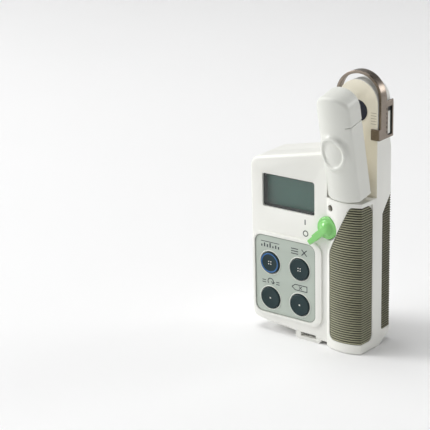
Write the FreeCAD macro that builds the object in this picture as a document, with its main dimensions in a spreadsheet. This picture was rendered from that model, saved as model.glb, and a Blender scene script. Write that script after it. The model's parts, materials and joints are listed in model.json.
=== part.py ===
import FreeCAD, Part
import math
import os
import types

import Sketcher

# A clip-on leaf meter: a flat display case with a ribbed hand grip on its right side. A jaw with the
# lamps stands above the grip, and a measuring head hinged at the top of the grip closes onto it.
# Drafting frame: X 0 at the left edge, Y 0 at the display face and positive to the back, Z 0 underneath.
# Every sub-part is then placed so that the origin is under the centre of the whole meter.

Vector = FreeCAD.Vector
doc = FreeCAD.newDocument("LeafMeter")
sheet = doc.addObject("Spreadsheet::Sheet", "Sizes")

DIMENSIONS = [
    ("case_width", 78.0, "left edge to the grip side"),
    ("case_depth", 31.0, "display face to the back"),
    ("case_height", 107.2, "top of the left side"),
    ("parting", 13.0, "where the two shells meet"),
    ("wall", 2.2, "shell wall"),
    ("top_slope", 11.8, "rise of the top edge, degrees"),
    ("base_left", 7.4, "height of the underside at the left"),
    ("base_slope", 6.2, "fall of the underside, degrees"),
    ("corner_low", 5.0, "lower left corner radius"),
    ("corner_top", 7.0, "upper left corner radius"),
    ("front_round", 2.0, "front edge radius"),
    ("back_round", 2.5, "back edge radius"),
    ("centre_depth", 5.9, "origin behind the display face"),
    ("grip_reach", 11.5, "hand grip left side left of the jaw centre"),
    ("bulge", 3.3, "crown of the grip in front of the display face"),
    ("ridge_inset", 1.0, "front ridge inside the grip side"),
    ("ledge_drop", 15.4, "grip top below the top of the left side"),
    ("heel_start", 17.6, "depth where the underside turns up"),
    ("heel_rise", 6.2, "rise of the underside at the back"),
    ("jaw_radius", 13.0, "half width of the jaw"),
    ("jaw_reach", 66.7, "jaw top above the grip top"),
    ("jaw_face", 14.0, "depth of the jaw face"),
    ("jaw_back", 27.5, "depth of the jaw back"),
    ("jaw_taper_low", 20.0, "start of the back taper above the grip top"),
    ("jaw_taper_high", 33.0, "end of the back taper above the grip top"),
    ("sample_height", 49.2, "measuring centre above the grip top"),
    ("pad_radius", 6.2, "dark pad round each window"),
    ("pad_thick", 0.8, "pad thickness"),
    ("emitter_radius", 2.2, "window radius"),
    ("window_left", 8.7, "display opening, left edge"),
    ("window_wide", 36.4, "display opening width"),
    ("window_tall", 20.2, "display opening height"),
    ("window_drop", 28.5, "opening bottom below the top of the left side"),
    ("window_corner", 1.5, "display opening corner radius"),
    ("window_thick", 1.1, "display window thickness"),
    ("lcd_depth", 4.2, "display glass behind the display face"),
    ("lcd_thick", 1.8, "display glass thickness"),
    ("lcd_margin", 1.6, "display glass beyond the opening"),
    ("panel_left", 3.0, "key panel, left edge"),
    ("panel_base", 12.2, "key panel, lower edge"),
    ("panel_wide", 42.9, "key panel width"),
    ("panel_tall", 49.0, "key panel height"),
    ("panel_corner", 5.0, "key panel corner radius"),
    ("panel_thick", 0.35, "key panel sheet"),
    ("frame_wide", 4.3, "raised frame beside the key panel"),
    ("frame_edge", 1.2, "raised frame at the left and below"),
    ("frame_proud", 0.9, "raised frame above the display face"),
    ("key_radius", 6.6, "round key radius"),
    ("key_proud", 1.3, "key above the display face"),
    ("key_pitch_x", 20.9, "key columns"),
    ("key_pitch_z", 22.3, "key rows"),
    ("key_left", 13.9, "first key column"),
    ("key_base", 22.0, "lower key row"),
    ("key_travel", 0.5, "key travel"),
    ("key_flange", 0.9, "flange beyond the key"),
    ("board_depth", 6.6, "circuit board behind the display face"),
    ("board_thick", 1.6, "circuit board thickness"),
    ("dome_sheet", 0.4, "key membrane thickness"),
    ("lever_x", 1.1, "lever centre right of the grip's left side"),
    ("lever_drop", 17.8, "lever centre below the grip top"),
    ("lever_radius", 6.7, "lever disc radius"),
    ("lever_reach", 15.8, "lever centre to tip"),
    ("lever_wide", 4.2, "lever bar width"),
    ("lever_angle", 42.7, "lever at rest below level, degrees"),
    ("spindle_radius", 2.5, "lever spindle radius"),
    ("trimmer_x", 3.4, "trimmer centre right of the grip's left side"),
    ("trimmer_drop", 5.4, "trimmer centre below the grip top"),
    ("trimmer_hole", 2.0, "trimmer hole radius"),
    ("rubber_thick", 1.1, "rubber patch thickness"),
    ("patch_inset", 2.5, "front patch inside the grip's left side"),
    ("back_patch_wide", 15.0, "back patch, left edge from the grip side"),
    ("patch_base", 6.2, "patch bottom"),
    ("patch_shoulder", 31.6, "patch shoulder below the grip top"),
    ("patch_top_drop", 2.3, "patch top below the grip top"),
    ("patch_neck", 17.0, "patch top left corner right of the grip's left side"),
    ("side_front", 10.4, "front patch edge on the side"),
    ("side_back", 20.3, "back patch edge on the side"),
    ("hinge_depth", 9.0, "hinge axis behind the display face"),
    ("hinge_drop", 4.8, "hinge axis below the grip top"),
    ("pin_radius", 1.5, "hinge pin radius"),
    ("running_gap", 0.05, "radial gap of a running fit"),
    ("open_angle", 12.5, "head opening, degrees"),
    ("head_left", 1.5, "head left side right of the grip's left side"),
    ("head_gap", 3.6, "head bottom above the grip top when closed"),
    ("head_top", 68.0, "head top above the grip top when closed"),
    ("head_rear", 10.9, "head side rear edge"),
    ("head_ridge", -0.8, "head front ridge"),
    ("head_bulge", 4.0, "head crown in front of the display face"),
    ("head_wall", 2.0, "head shell wall"),
    ("head_round", 11.0, "head top radius"),
    ("lug_wide", 8.0, "hinge lug width"),
    ("lug_deep", 6.5, "hinge lug, front to back"),
    ("dish_height", 32.2, "finger dish above the grip top"),
    ("strip_thick", 0.9, "stop strip thickness"),
    ("strip_wide", 6.0, "stop strip, front to back"),
    ("stop_gap", 1.1, "strip clear of the jaw side"),
    ("stop_travel", 6.0, "whole travel of the stop, at rest in its middle"),
    ("leg_drop", 23.0, "leg below the strip centre"),
    ("leg_deep", 13.2, "leg, front to back"),
    ("leg_rail", 1.1, "rails beside the leg's window"),
    ("lip_gap", 0.25, "stop's front lip clear of the jaw side"),
    ("cell_radius", 7.1, "battery cell radius"),
    ("cell_long", 49.5, "battery cell length"),
    ("cell_pitch", 15.0, "between the two cells"),
    ("cell_base", 21.4, "lower cell above the ground"),
    ("cell_left", 7.0, "cell end from the left edge"),
    ("door_thick", 1.5, "battery door thickness"),
    ("door_gap", 0.15, "round the battery door"),
    ("screw_radius", 1.3, "case screw radius"),
    ("screw_head", 2.3, "case screw head radius"),
    ("seal_thick", 0.5, "case seal thickness"),
    ("boss_radius", 2.6, "screw boss radius"),
    ("slit_left", 34.5, "strap slit, left edge"),
    ("slit_wide", 11.0, "strap slit width"),
    ("slit_tall", 2.8, "strap slit height"),
    ("eyelet_rim", 3.4, "strap eyelet beyond the slit at each end"),
    ("eyelet_back", 8.0, "back of the eyelet"),
    ("press_gap", 0.02, "radial room of a fixed part in its hole"),
    ("patch_gap", 0.05, "round a rubber patch"),
    ("window_gap", 0.15, "round the display window"),
    ("key_gap", 0.3, "round a key"),
    ("key_edge", 0.7, "key edge drawn in"),
    ("flange_thick", 0.9, "key flange, front to back"),
    ("dome_radius", 3.2, "dome under a key"),
    ("dome_rise", 0.6, "dome above the membrane"),
    ("dome_edge", 3.6, "membrane beyond the outer keys' centres"),
    ("switch_half", 4.8, "half the power switch"),
    ("trimmer_half", 3.0, "half the trimmer body"),
    ("trimmer_radius", 1.6, "trimmer screw radius"),
    ("slot_half", 0.3, "half the width of a screwdriver slot"),
    ("head_sunk", 3.0, "case screw head below the back"),
    ("tray_end", 2.8, "battery tray beyond a cell's end"),
    ("tray_side", 0.4, "battery tray beyond a cell's side"),
    ("tray_wall", 1.2, "battery tray wall"),
    ("contact_thick", 0.5, "battery contact plate"),
    ("bracket_ear", 1.2, "hinge bracket ear thickness"),
    ("hole_radius", 1.0, "board and head screw hole"),
    ("lamp_radius", 1.5, "lamp radius"),
    ("lamp_side", 2.1, "lamp centre beside the jaw centre"),
    ("holder_radius", 6.0, "lamp holder radius"),
    ("ear_wide", 5.8, "stop's finger tab width"),
    ("ear_tall", 6.4, "stop's finger tab height"),
]
for row, (alias, value, meaning) in enumerate(DIMENSIONS, start=1):
    sheet.set(f"A{row}", meaning)
    sheet.set(f"B{row}", str(value))
    sheet.setAlias(f"B{row}", alias)
doc.recompute()

# The sheet's values, read back after it has been worked out.
s = types.SimpleNamespace(**{alias: float(sheet.get(alias)) for alias, _, _ in DIMENSIONS})

fine = 0.01       # lengths below this count as nothing
reach = 60.0      # longer than any cut needs to be

# Places that several sub-parts share, worked out from the sheet.
grip_left = s.case_width - s.jaw_radius - s.grip_reach
ridge_x = s.case_width - s.ridge_inset
ledge = s.case_height - s.ledge_drop
jaw_centre = s.case_width - s.jaw_radius
jaw_top = ledge + s.jaw_reach
jaw_round = jaw_top - s.jaw_radius
sample_z = ledge + s.sample_height
window_base = s.case_height - s.window_drop
window_mid = (s.window_left + s.window_wide / 2, window_base + s.window_tall / 2)
panel_mid = (s.panel_left + s.panel_wide / 2, s.panel_base + s.panel_tall / 2)
lever = (grip_left + s.lever_x, ledge - s.lever_drop)
trimmer = (grip_left + s.trimmer_x, ledge - s.trimmer_drop)
hinge_z = ledge - s.hinge_drop
head_left = grip_left + s.head_left
head_right = s.case_width - 0.4
head_base = ledge + s.head_gap
head_top = ledge + s.head_top
strip_outer = s.jaw_radius + s.stop_gap + s.strip_thick
strip_z = jaw_round + s.stop_travel / 2
strip_front = s.jaw_face + 0.7
overall_width = s.case_width + s.stop_gap + s.strip_thick
back_wall = s.wall + 0.2
board_back = s.board_depth + s.board_thick
lug_mid = (head_left + head_right) / 2
keys = {
    "average_key": (0, 1),
    "clear_key": (1, 1),
    "recall_key": (0, 0),
    "delete_key": (1, 0),
}
case_screws = [
    (4.9, s.case_height - 5.2),
    (grip_left - 4.0, ledge + 14.3),
    (5.0, window_base - 10.7),
    (s.case_width - 7.5, 11.0),
    (s.case_width - 8.5, ledge - 20.0),
]
board_screws = [
    (s.key_left + s.key_pitch_x / 2, window_base - 10.5),
    (grip_left - 6.0, s.panel_base + 4.0),
]
head_screws = [(head_left + 11.0, head_base + 8.0), (head_left + 11.0, ledge + 33.0)]


def key_place(column, line):
    return s.key_left + column * s.key_pitch_x, s.key_base + line * s.key_pitch_z


def top_at(x):
    return s.case_height + x * math.tan(math.radians(s.top_slope))


def base_at(x):
    return s.base_left - x * math.tan(math.radians(s.base_slope))


def outline(points, plane, at):
    """A closed wire through (u, v, corner radius) points on a plane, its round corners as arcs."""
    lift = {
        "XY": lambda u, v: Vector(u, v, at),
        "XZ": lambda u, v: Vector(u, at, v),
        "YZ": lambda u, v: Vector(at, u, v),
    }[plane]
    edges, ends = [], []
    for i, (u, v, radius) in enumerate(points):
        here = Vector(u, v, 0)
        before = Vector(*points[i - 1][:2], 0) - here
        after = Vector(*points[(i + 1) % len(points)][:2], 0) - here
        if radius == 0:
            ends.append((here, here, here))
            continue
        half = before.getAngle(after) / 2
        before.normalize()
        after.normalize()
        middle = (before + after).normalize()
        run = radius / math.tan(half)
        crown = here + middle * (radius / math.sin(half) - radius)
        ends.append((here + before * run, crown, here + after * run))
    for i, (start, crown, stop) in enumerate(ends):
        following = ends[(i + 1) % len(ends)][0]
        if start != stop:
            edges.append(Part.Arc(*(lift(p.x, p.y) for p in (start, crown, stop))).toShape())
        if (following - stop).Length > fine:
            edges.append(Part.LineSegment(lift(stop.x, stop.y), lift(following.x, following.y)).toShape())
    return Part.Wire(Part.__sortEdges__(edges))


def along(plane, length):
    return {"XY": Vector(0, 0, length), "XZ": Vector(0, length, 0), "YZ": Vector(length, 0, 0)}[plane]


def prism(points, plane, start, stop, grow=0.0):
    """A solid with this outline from start to stop, its outline grown or shrunk by grow."""
    face = Part.Face(outline(points, plane, start))
    if grow:
        face = Part.Face(face.makeOffset2D(grow).OuterWire)
    return face.extrude(along(plane, stop - start))


def slab(x0, x1, y0, y1, z0, z1):
    return Part.makeBox(x1 - x0, y1 - y0, z1 - z0, Vector(x0, y0, z0))


def rounded(centre, wide, tall, radius, y0, y1):
    """A rounded rectangle facing the front, from depth y0 to y1."""
    u, v = centre
    sides = [(-1, -1), (1, -1), (1, 1), (-1, 1)]
    corners = [(u + a * wide / 2, v + b * tall / 2, radius) for a, b in sides]
    return prism(corners, "XZ", y0, y1)


def disc(x, z, radius, y0, y1):
    return Part.makeCylinder(radius, y1 - y0, Vector(x, y0, z), Vector(0, 1, 0))


def bar(y, z, radius, x0, x1):
    return Part.makeCylinder(radius, x1 - x0, Vector(x0, y, z), Vector(1, 0, 0))


def ellipsoid(centre, radii):
    matrix = FreeCAD.Matrix()
    matrix.scale(Vector(*radii))
    matrix.move(Vector(*centre))
    return Part.makeSphere(1.0).transformGeometry(matrix)


def joined(shapes):
    return shapes[0].multiFuse(shapes[1:]).removeSplitter()


def edges_on(shape, test):
    return [e for e in shape.Edges if test(e.BoundBox)]


home = FreeCAD.Placement(Vector(-overall_width / 2, -s.centre_depth, 0), FreeCAD.Rotation())
hinge_point = Vector(0, s.hinge_depth, hinge_z)
tilt = FreeCAD.Rotation(Vector(1, 0, 0), s.open_angle)
opened = home.multiply(FreeCAD.Placement(Vector(), tilt, hinge_point))
sub_parts = []


def keep(item, label, place=home):
    """List a finished sub-part and move it from its drafting place to its place in the meter."""
    item.Label = label
    item.Placement = place.multiply(item.Placement)
    sub_parts.append(item)
    return item


def modelled(label, shape, place=home):
    item = doc.addObject("Part::Feature", label)
    item.Shape = shape
    return keep(item, label, place)


facing_back = FreeCAD.Rotation(Vector(1, 0, 0), -90)


def primitive(kind, name, at, turn=None, **sizes):
    """A Part primitive whose sizes are bound to the sheet."""
    item = doc.addObject(f"Part::{kind}", name)
    for size, rule in sizes.items():
        item.setExpression(size, rule)
    item.Placement = FreeCAD.Placement(Vector(*at), turn or FreeCAD.Rotation())
    return item


def box(name, at, long, deep, tall):
    return primitive("Box", name, at, Length=long, Width=deep, Height=tall)


def round_bar(name, at, radius, long, turn=facing_back):
    return primitive("Cylinder", name, at, turn, Radius=radius, Height=long)


def cut(name, base, tool):
    item = doc.addObject("Part::Cut", name)
    item.Base, item.Tool = base, tool
    return item


def fused(name, shapes):
    item = doc.addObject("Part::MultiFuse", name)
    item.Shapes = shapes
    return item


# ---- case ----

case_front = [
    (0, s.base_left, s.corner_low),
    (grip_left + 3 * s.wall, base_at(grip_left + 3 * s.wall), 0),
    (grip_left + 3 * s.wall, ledge, 0),
    (grip_left, ledge, 0),
    (grip_left, top_at(grip_left), 0),
    (0, s.case_height, s.corner_top),
]
case_back = [
    (0, s.base_left, s.corner_low),
    (grip_left, base_at(grip_left), 2.0),
    (grip_left + 3.0, 0, 1.0),
    (s.case_width, 0, 0),
    (s.case_width, jaw_top, s.jaw_radius - fine),
    (jaw_centre - s.jaw_radius, jaw_top, s.jaw_radius - fine),
    (jaw_centre - s.jaw_radius, top_at(jaw_centre - s.jaw_radius), 3.0),
    (0, s.case_height, s.corner_top),
]
seam = [
    (0, s.base_left, s.corner_low),
    (grip_left, base_at(grip_left), 0),
    (grip_left + 3.0, 0, 0),
    (s.case_width, 0, 0),
    (s.case_width, ledge, 0),
    (grip_left, ledge, 0),
    (grip_left, top_at(grip_left), 0),
    (0, s.case_height, s.corner_top),
]


def crowned(left, left_y, crown, ridge, right, rear, base, top, grow=0.0):
    """A block whose front is one shallow arc from the left side to a ridge by the right side."""
    crown_point = Vector((left + ridge[0]) / 2, crown, base)
    corners = [Vector(left, left_y, base), Vector(*ridge, base), Vector(right, rear, base)]
    corners.append(Vector(left, rear, base))
    edges = [Part.Arc(corners[0], crown_point, corners[1]).toShape()]
    for a, b in ((1, 2), (2, 3), (3, 0)):
        edges.append(Part.LineSegment(corners[a], corners[b]).toShape())
    face = Part.Face(Part.Wire(edges))
    if grow:
        face = Part.Face(face.makeOffset2D(grow).OuterWire)
    return face.extrude(Vector(0, 0, top - base))


def grip_front(base, top, rear=s.parting, grow=0.0):
    side_slope = s.ridge_inset / s.parting
    right = ridge_x + side_slope * rear
    return crowned(grip_left, 0, -s.bulge, (ridge_x, 0), right, rear, base, top, grow)


def patch_faces():
    """The patch outline seen from the front or back, as a prism through the whole depth."""
    left = grip_left + s.patch_inset
    neck = grip_left + s.patch_neck
    top = ledge - s.patch_top_drop
    corners = [
        (left, s.patch_base, 4.0),
        (s.case_width + 3, s.patch_base, 0),
        (s.case_width + 3, top, 0),
        (neck, top, 3.0),
        (left, ledge - s.patch_shoulder, 4.0),
    ]
    return prism(corners, "XZ", -reach, reach)


def front_patch(gap):
    """The front rubber patch, or with a gap its recess: a skin over the crown and the side."""
    skin = grip_front(s.patch_base - 3, ledge).cut(
        grip_front(s.patch_base - 4, ledge + 1, s.parting + 4, -(s.rubber_thick + gap)))
    side = prism(
        [(-reach, 0, 0), (s.side_front + gap, s.patch_base - gap, 4.0),
         (s.side_front + gap, ledge - s.patch_top_drop + gap, 6.0), (-reach, reach * 3, 0)],
        "YZ", grip_left, s.case_width + 3)
    return skin.common(patch_faces()).common(side)


def back_patch(gap):
    """The back rubber patch: a skin over the side, round the corner and over the back."""
    low, high = s.patch_base + 2.6, ledge + 1.5
    corners = [
        (s.side_back - gap, low, 2.0),
        (s.side_back - gap, ledge - 11.0, 1.0),
        (s.case_depth, high, 0),
        (s.case_depth + 3, high, 0),
        (s.case_depth + 3, low, 0),
    ]
    profile = prism(corners, "YZ", grip_left, s.case_width + 3)
    corner = s.back_round - s.rubber_thick - gap
    inner = prism(
        [(grip_left - 3, s.parting, 0), (s.case_width - s.rubber_thick - gap, s.parting, 0),
         (s.case_width - s.rubber_thick - gap, s.case_depth - s.rubber_thick - gap, corner),
         (grip_left - 3, s.case_depth - s.rubber_thick - gap, 0)],
        "XY", 0, ledge + 5)
    outer = prism(
        [(grip_left - 2, s.parting, 0), (s.case_width, s.parting, 0),
         (s.case_width, s.case_depth, s.back_round), (grip_left - 2, s.case_depth, 0)],
        "XY", low - 2, high + 2)
    face = prism(
        [(s.case_width - s.back_patch_wide, low, 3.0), (s.case_width + 3, low, 0),
         (s.case_width + 3, high + 1, 0), (s.case_width - s.back_patch_wide, high + 1, 5.0)],
        "XZ", 0, reach)
    return outer.cut(inner).common(profile).common(face)


def screw_bosses(y0, y1):
    """Screw posts between two depths, kept inside the case."""
    return [disc(x, z, s.boss_radius, y0, y1) for x, z in case_screws]


def make_front_shell():
    block = prism(case_front, "XZ", 0, s.parting)
    block = block.makeFillet(
        s.front_round, edges_on(block, lambda b: b.YMax < fine and b.XMin < grip_left - 1))
    grip = grip_front(0, ledge)
    low = edges_on(grip, lambda b: b.ZMax < fine and b.YMin < s.parting - 1 and b.XMax > grip_left + 1)
    grip = grip.makeFillet(1.3, low)
    hollow = prism(case_front, "XZ", s.wall, s.parting + 1, -s.wall)
    grip_hollow = grip_front(s.wall, ledge - s.wall, s.parting + 4, -s.wall)
    solid = joined([block, grip])
    shell = solid.cut(joined([hollow, grip_hollow]))
    frame_right = s.panel_left + s.panel_wide + s.frame_wide
    frame_left = s.panel_left - s.frame_edge
    frame_low = s.panel_base - s.frame_edge - 0.6
    frame_high = s.panel_base + s.panel_tall + s.frame_wide / 2
    frame_mid = ((frame_left + frame_right) / 2, (frame_low + frame_high) / 2)
    frame = rounded(frame_mid, frame_right - frame_left, frame_high - frame_low,
                    s.panel_corner + 2, -s.frame_proud, s.wall / 2)
    frame = frame.cut(rounded(panel_mid, s.panel_wide, s.panel_tall, s.panel_corner, -5, 0))
    bosses = [b.common(solid) for b in screw_bosses(s.rubber_thick + 1 - s.bulge, s.parting)]
    bosses += [disc(x, z, 2.2 * s.hole_radius, s.wall / 2, s.board_depth) for x, z in board_screws]
    slit_right = s.slit_left + s.slit_wide
    slit_base = 2.0
    slit_top = slit_base + s.slit_tall
    eyelet = slab(s.slit_left - s.eyelet_rim, slit_right + s.eyelet_rim, 0.5, s.eyelet_back,
                  0, base_at(s.slit_left) + s.wall)
    eyelet = eyelet.makeChamfer(1.6, edges_on(eyelet, lambda b: b.ZMax < fine and b.YLength > 1))
    pocket = slab(s.slit_left - 1.5, slit_right + 1.5, 0.5, s.eyelet_back, slit_base, slit_top + 1.5)
    shell = joined([shell, frame, eyelet, pocket] + bosses)
    holes = [rounded(window_mid, s.window_wide, s.window_tall, s.window_corner, -5, s.wall + 1)]
    for column, line in keys.values():
        holes.append(disc(*key_place(column, line), s.key_radius + s.key_gap, -5, s.wall + 1))
    holes.append(disc(*lever, s.lever_radius + 0.6, -reach, 0))
    holes.append(disc(*lever, s.spindle_radius + s.running_gap, -5, s.wall + 1))
    holes.append(disc(*trimmer, s.trimmer_hole, -5, s.wall + 1))
    holes += [disc(x, z, s.screw_radius + s.press_gap, s.wall + 1, s.parting + 1) for x, z in case_screws]
    holes += [disc(x, z, s.hole_radius + s.press_gap, s.wall + 1, s.board_depth + 1)
              for x, z in board_screws]
    holes.append(prism(seam, "XZ", s.parting - s.seal_thick, s.parting + 1, -0.7).cut(
        prism(seam, "XZ", s.parting - 2, s.parting + 2, -1.5)))
    holes.append(slab(lug_mid - s.lug_wide / 2 - 0.6, lug_mid + s.lug_wide / 2 + 0.6,
                      2.6, s.parting + 1, ledge - s.wall - 1, ledge + 1))
    slit_back = s.eyelet_back - 1.5
    holes.append(slab(s.slit_left, slit_right, -1, slit_back, slit_base, slit_top))
    holes.append(slab(s.slit_left, slit_right, 3.4, slit_back, -1, slit_top))
    holes.append(front_patch(s.patch_gap))
    return shell.cut(Part.makeCompound(holes))


def back_block(inset, y0):
    """The back of the case from depth y0, its outline and back drawn in by inset."""
    depth = s.case_depth - (back_wall if inset else 0)
    block = prism(case_back, "XZ", y0, depth, -inset)
    if not inset:
        rim = edges_on(block, lambda b: b.YMin > depth - fine and b.ZMax > 1.5)
        block = block.makeFillet(s.back_round, rim)
    low, high = ledge + s.jaw_taper_low, ledge + s.jaw_taper_high
    jaw_depth = s.jaw_back - (back_wall if inset else 0)
    taper = prism([(depth, low, 0), (jaw_depth, high, 0), (jaw_depth, reach * 4, 0), (reach, reach * 4, 0),
                   (reach, low, 0)], "YZ", grip_left - 6, s.case_width + 3)
    heel_run = s.case_depth - s.heel_start
    far = s.heel_start + 2 * heel_run
    heel = prism([(s.heel_start, -fine + inset, 0), (far, 2 * s.heel_rise + inset, 0),
                  (far, -reach, 0), (s.heel_start, -reach, 0)], "YZ", -3, s.case_width + 3)
    return block.cut(taper).cut(heel)


def door_block(gap):
    """The battery door's place in the back, which runs out at the left side of the case."""
    right = s.cell_left + s.cell_long + 4.5
    middle = s.cell_base + s.cell_pitch / 2
    half = s.cell_pitch / 2 + s.cell_radius + 2.2 + gap
    depth = s.case_depth - s.door_thick
    return slab(-3, right + gap, depth - gap, s.case_depth + 3, middle - half, middle + half)


def make_back_shell():
    outer = back_block(0, s.parting)
    jaw_space = slab(grip_left - 6, s.case_width + 3, 0, s.jaw_face, ledge, jaw_top + 1)
    front_wall = slab(grip_left - 6, s.case_width + 3, 0, s.jaw_face + s.wall, ledge - 12.0, jaw_top + 1)
    hollow = back_block(s.wall, s.parting - 1).cut(front_wall)
    hinge_room = slab(grip_left + s.wall, s.case_width - s.wall, 0, s.jaw_face, ledge - 14.0, ledge)
    bosses = [b.common(outer) for b in screw_bosses(s.parting, s.case_depth - 1)]
    foot = slab(s.slit_left - s.eyelet_rim, s.slit_left + s.slit_wide + s.eyelet_rim,
                s.parting, s.heel_start + 6.0, 0, base_at(s.slit_left) + s.wall)
    shell = joined([outer.cut(jaw_space).cut(hollow).cut(hinge_room), foot] + bosses)
    middle = s.cell_base + s.cell_pitch / 2
    half = s.cell_pitch / 2 + s.cell_radius + 0.3
    holes = [door_block(s.door_gap)]
    holes.append(slab(s.cell_left - 2.0, s.cell_left + s.cell_long + 2.0,
                      s.case_depth - 5, s.case_depth + 3, middle - half, middle + half))
    for x, z in case_screws:
        holes.append(disc(x, z, s.screw_radius + 0.2, s.parting - 1, s.case_depth + 1))
        holes.append(disc(x, z, s.screw_head + 0.2, s.case_depth - s.head_sunk, s.case_depth + 1))
    holes.append(disc(jaw_centre, sample_z, s.pad_radius + s.press_gap, s.jaw_face - 1, s.jaw_face + 0.6))
    holes.append(disc(jaw_centre, sample_z, s.emitter_radius + s.press_gap,
                      s.jaw_face - 1, s.jaw_face + s.wall + 1))
    holes.append(back_patch(s.patch_gap))
    return shell.cut(Part.makeCompound(holes))


# ---- helpers for turned and flat bodies ----

def plane_of(body, role):
    return [f for f in body.Origin.OriginFeatures if f.Role == role][0]


def closed_sketch(body, role, points):
    """A sketch of straight lines through points, each point's two distances bound to the sheet."""
    sketch = body.newObject("Sketcher::SketchObject", body.Name + "Sketch")
    sketch.AttachmentSupport = (plane_of(body, role), [""])
    sketch.MapMode = "FlatFace"
    rules = [[f"({axis})" for axis in point] for point in points]
    places = [Vector(*(worked_out(rule) for rule in point), 0) for point in rules]
    for i, place in enumerate(places):
        sketch.addGeometry(Part.LineSegment(place, places[(i + 1) % len(places)]), False)
    for i in range(len(places)):
        sketch.addConstraint(Sketcher.Constraint("Coincident", i, 2, (i + 1) % len(places), 1))
    for i, (point, rule) in enumerate(zip(places, rules)):
        for kind, value, text in (("DistanceX", point.x, rule[0]), ("DistanceY", point.y, rule[1])):
            number = sketch.addConstraint(Sketcher.Constraint(kind, -1, 1, i, 1, value))
            sketch.setExpression(f"Constraints[{number}]", text)
    return sketch


def worked_out(rule):
    """The number that a rule gives with the sheet's values."""
    return float(sheet.evalExpression(rule))


def turned(label, profile, at, turn=None, place=home):
    """A body turned about its own Y axis from a profile of (radius, depth) rules."""
    body = doc.addObject("PartDesign::Body", label)
    sketch = closed_sketch(body, "XY_Plane", profile)
    spin = body.newObject("PartDesign::Revolution", label + "Turn")
    spin.Profile = sketch
    spin.ReferenceAxis = (sketch, ["V_Axis"])
    spin.Angle = 360
    doc.recompute()
    body.Placement = FreeCAD.Placement(Vector(*at), turn or FreeCAD.Rotation())
    return keep(body, label, place)


def flat(label, wide, tall, thick, corner, at, place=home):
    """A padded rounded rectangle facing the front, its centre and front face at a place."""
    body = doc.addObject("PartDesign::Body", label)
    corners = [("0", "0"), (wide, "0"), (wide, tall), ("0", tall)]
    sketch = closed_sketch(body, "XZ_Plane", corners)
    pad = body.newObject("PartDesign::Pad", label + "Pad")
    pad.Profile = sketch
    pad.Reversed = True
    pad.setExpression("Length", thick)
    doc.recompute()
    upright = [f"Edge{i}" for i, e in enumerate(pad.Shape.Edges, start=1)
               if e.BoundBox.XLength < fine and e.BoundBox.ZLength < fine]
    rounding = body.newObject("PartDesign::Fillet", label + "Round")
    rounding.Base = (pad, upright)
    rounding.setExpression("Radius", corner)
    doc.recompute()
    x, y, z = at
    body.Placement = FreeCAD.Placement(
        Vector(x - worked_out(wide) / 2, y, z - worked_out(tall) / 2), FreeCAD.Rotation())
    return keep(body, label, place)


def drum(radius, start, stop):
    """The profile of a plain cylinder between two depths."""
    return [("0", start), (radius, start), (radius, stop), ("0", stop)]


quarter_turn = FreeCAD.Rotation(Vector(0, 0, 1), -90)   # a turned body's Y axis laid along X


# ---- case pieces ----

modelled("front_shell", make_front_shell())
modelled("back_shell", make_back_shell())
modelled("front_grip", front_patch(0))
modelled("back_grip", back_patch(0))
modelled("battery_door", back_block(0, s.parting).common(door_block(0)))

gasket = prism(seam, "XZ", s.parting - s.seal_thick, s.parting, -0.7)
modelled("case_gasket", gasket.cut(prism(seam, "XZ", s.parting - 2, s.parting + 2, -1.5)))

screws = []
for x, z in case_screws:
    seat = s.case_depth - s.head_sunk
    head = disc(x, z, s.screw_head, seat, seat + 1.8)
    slot = slab(x - 1.6, x + 1.6, seat + 1.0, s.case_depth, z - s.slot_half, z + s.slot_half)
    screws.append(head.fuse(disc(x, z, s.screw_radius, s.parting - 7, seat)).cut(slot))
modelled("case_screws", Part.makeCompound(screws))


# ---- display ----

x, z = window_mid
flat("display_window", "Sizes.window_wide - 2 * Sizes.window_gap", "Sizes.window_tall - 2 * Sizes.window_gap",
     "Sizes.window_thick", "Sizes.window_corner - Sizes.window_gap", (x, s.window_gap, z))
flat("lcd_module", "Sizes.window_wide + 2 * Sizes.lcd_margin", "Sizes.window_tall + 2 * Sizes.lcd_margin",
     "Sizes.lcd_thick", "0.4", (x, s.lcd_depth, z))
sleeve = rounded(window_mid, s.window_wide - 2 * s.window_gap, s.window_tall - 2 * s.window_gap,
                 s.window_corner, s.window_gap + s.window_thick, s.lcd_depth)
flange = rounded(window_mid, s.window_wide + 2 * s.lcd_margin, s.window_tall + 2 * s.lcd_margin, 0.4,
                 s.wall + 0.1, s.lcd_depth)
opening = rounded(window_mid, s.window_wide - 1.7, s.window_tall - 1.7, s.window_corner, -1, reach)
modelled("display_frame", sleeve.fuse(flange).cut(opening).removeSplitter())
strip_corner = (s.window_left, s.lcd_depth + s.lcd_thick, window_base - s.lcd_margin)
keep(box("contact_block", strip_corner, "Sizes.window_wide",
         "Sizes.board_depth - Sizes.lcd_depth - Sizes.lcd_thick", "2"), "contact_strip")


# ---- keys ----

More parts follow.
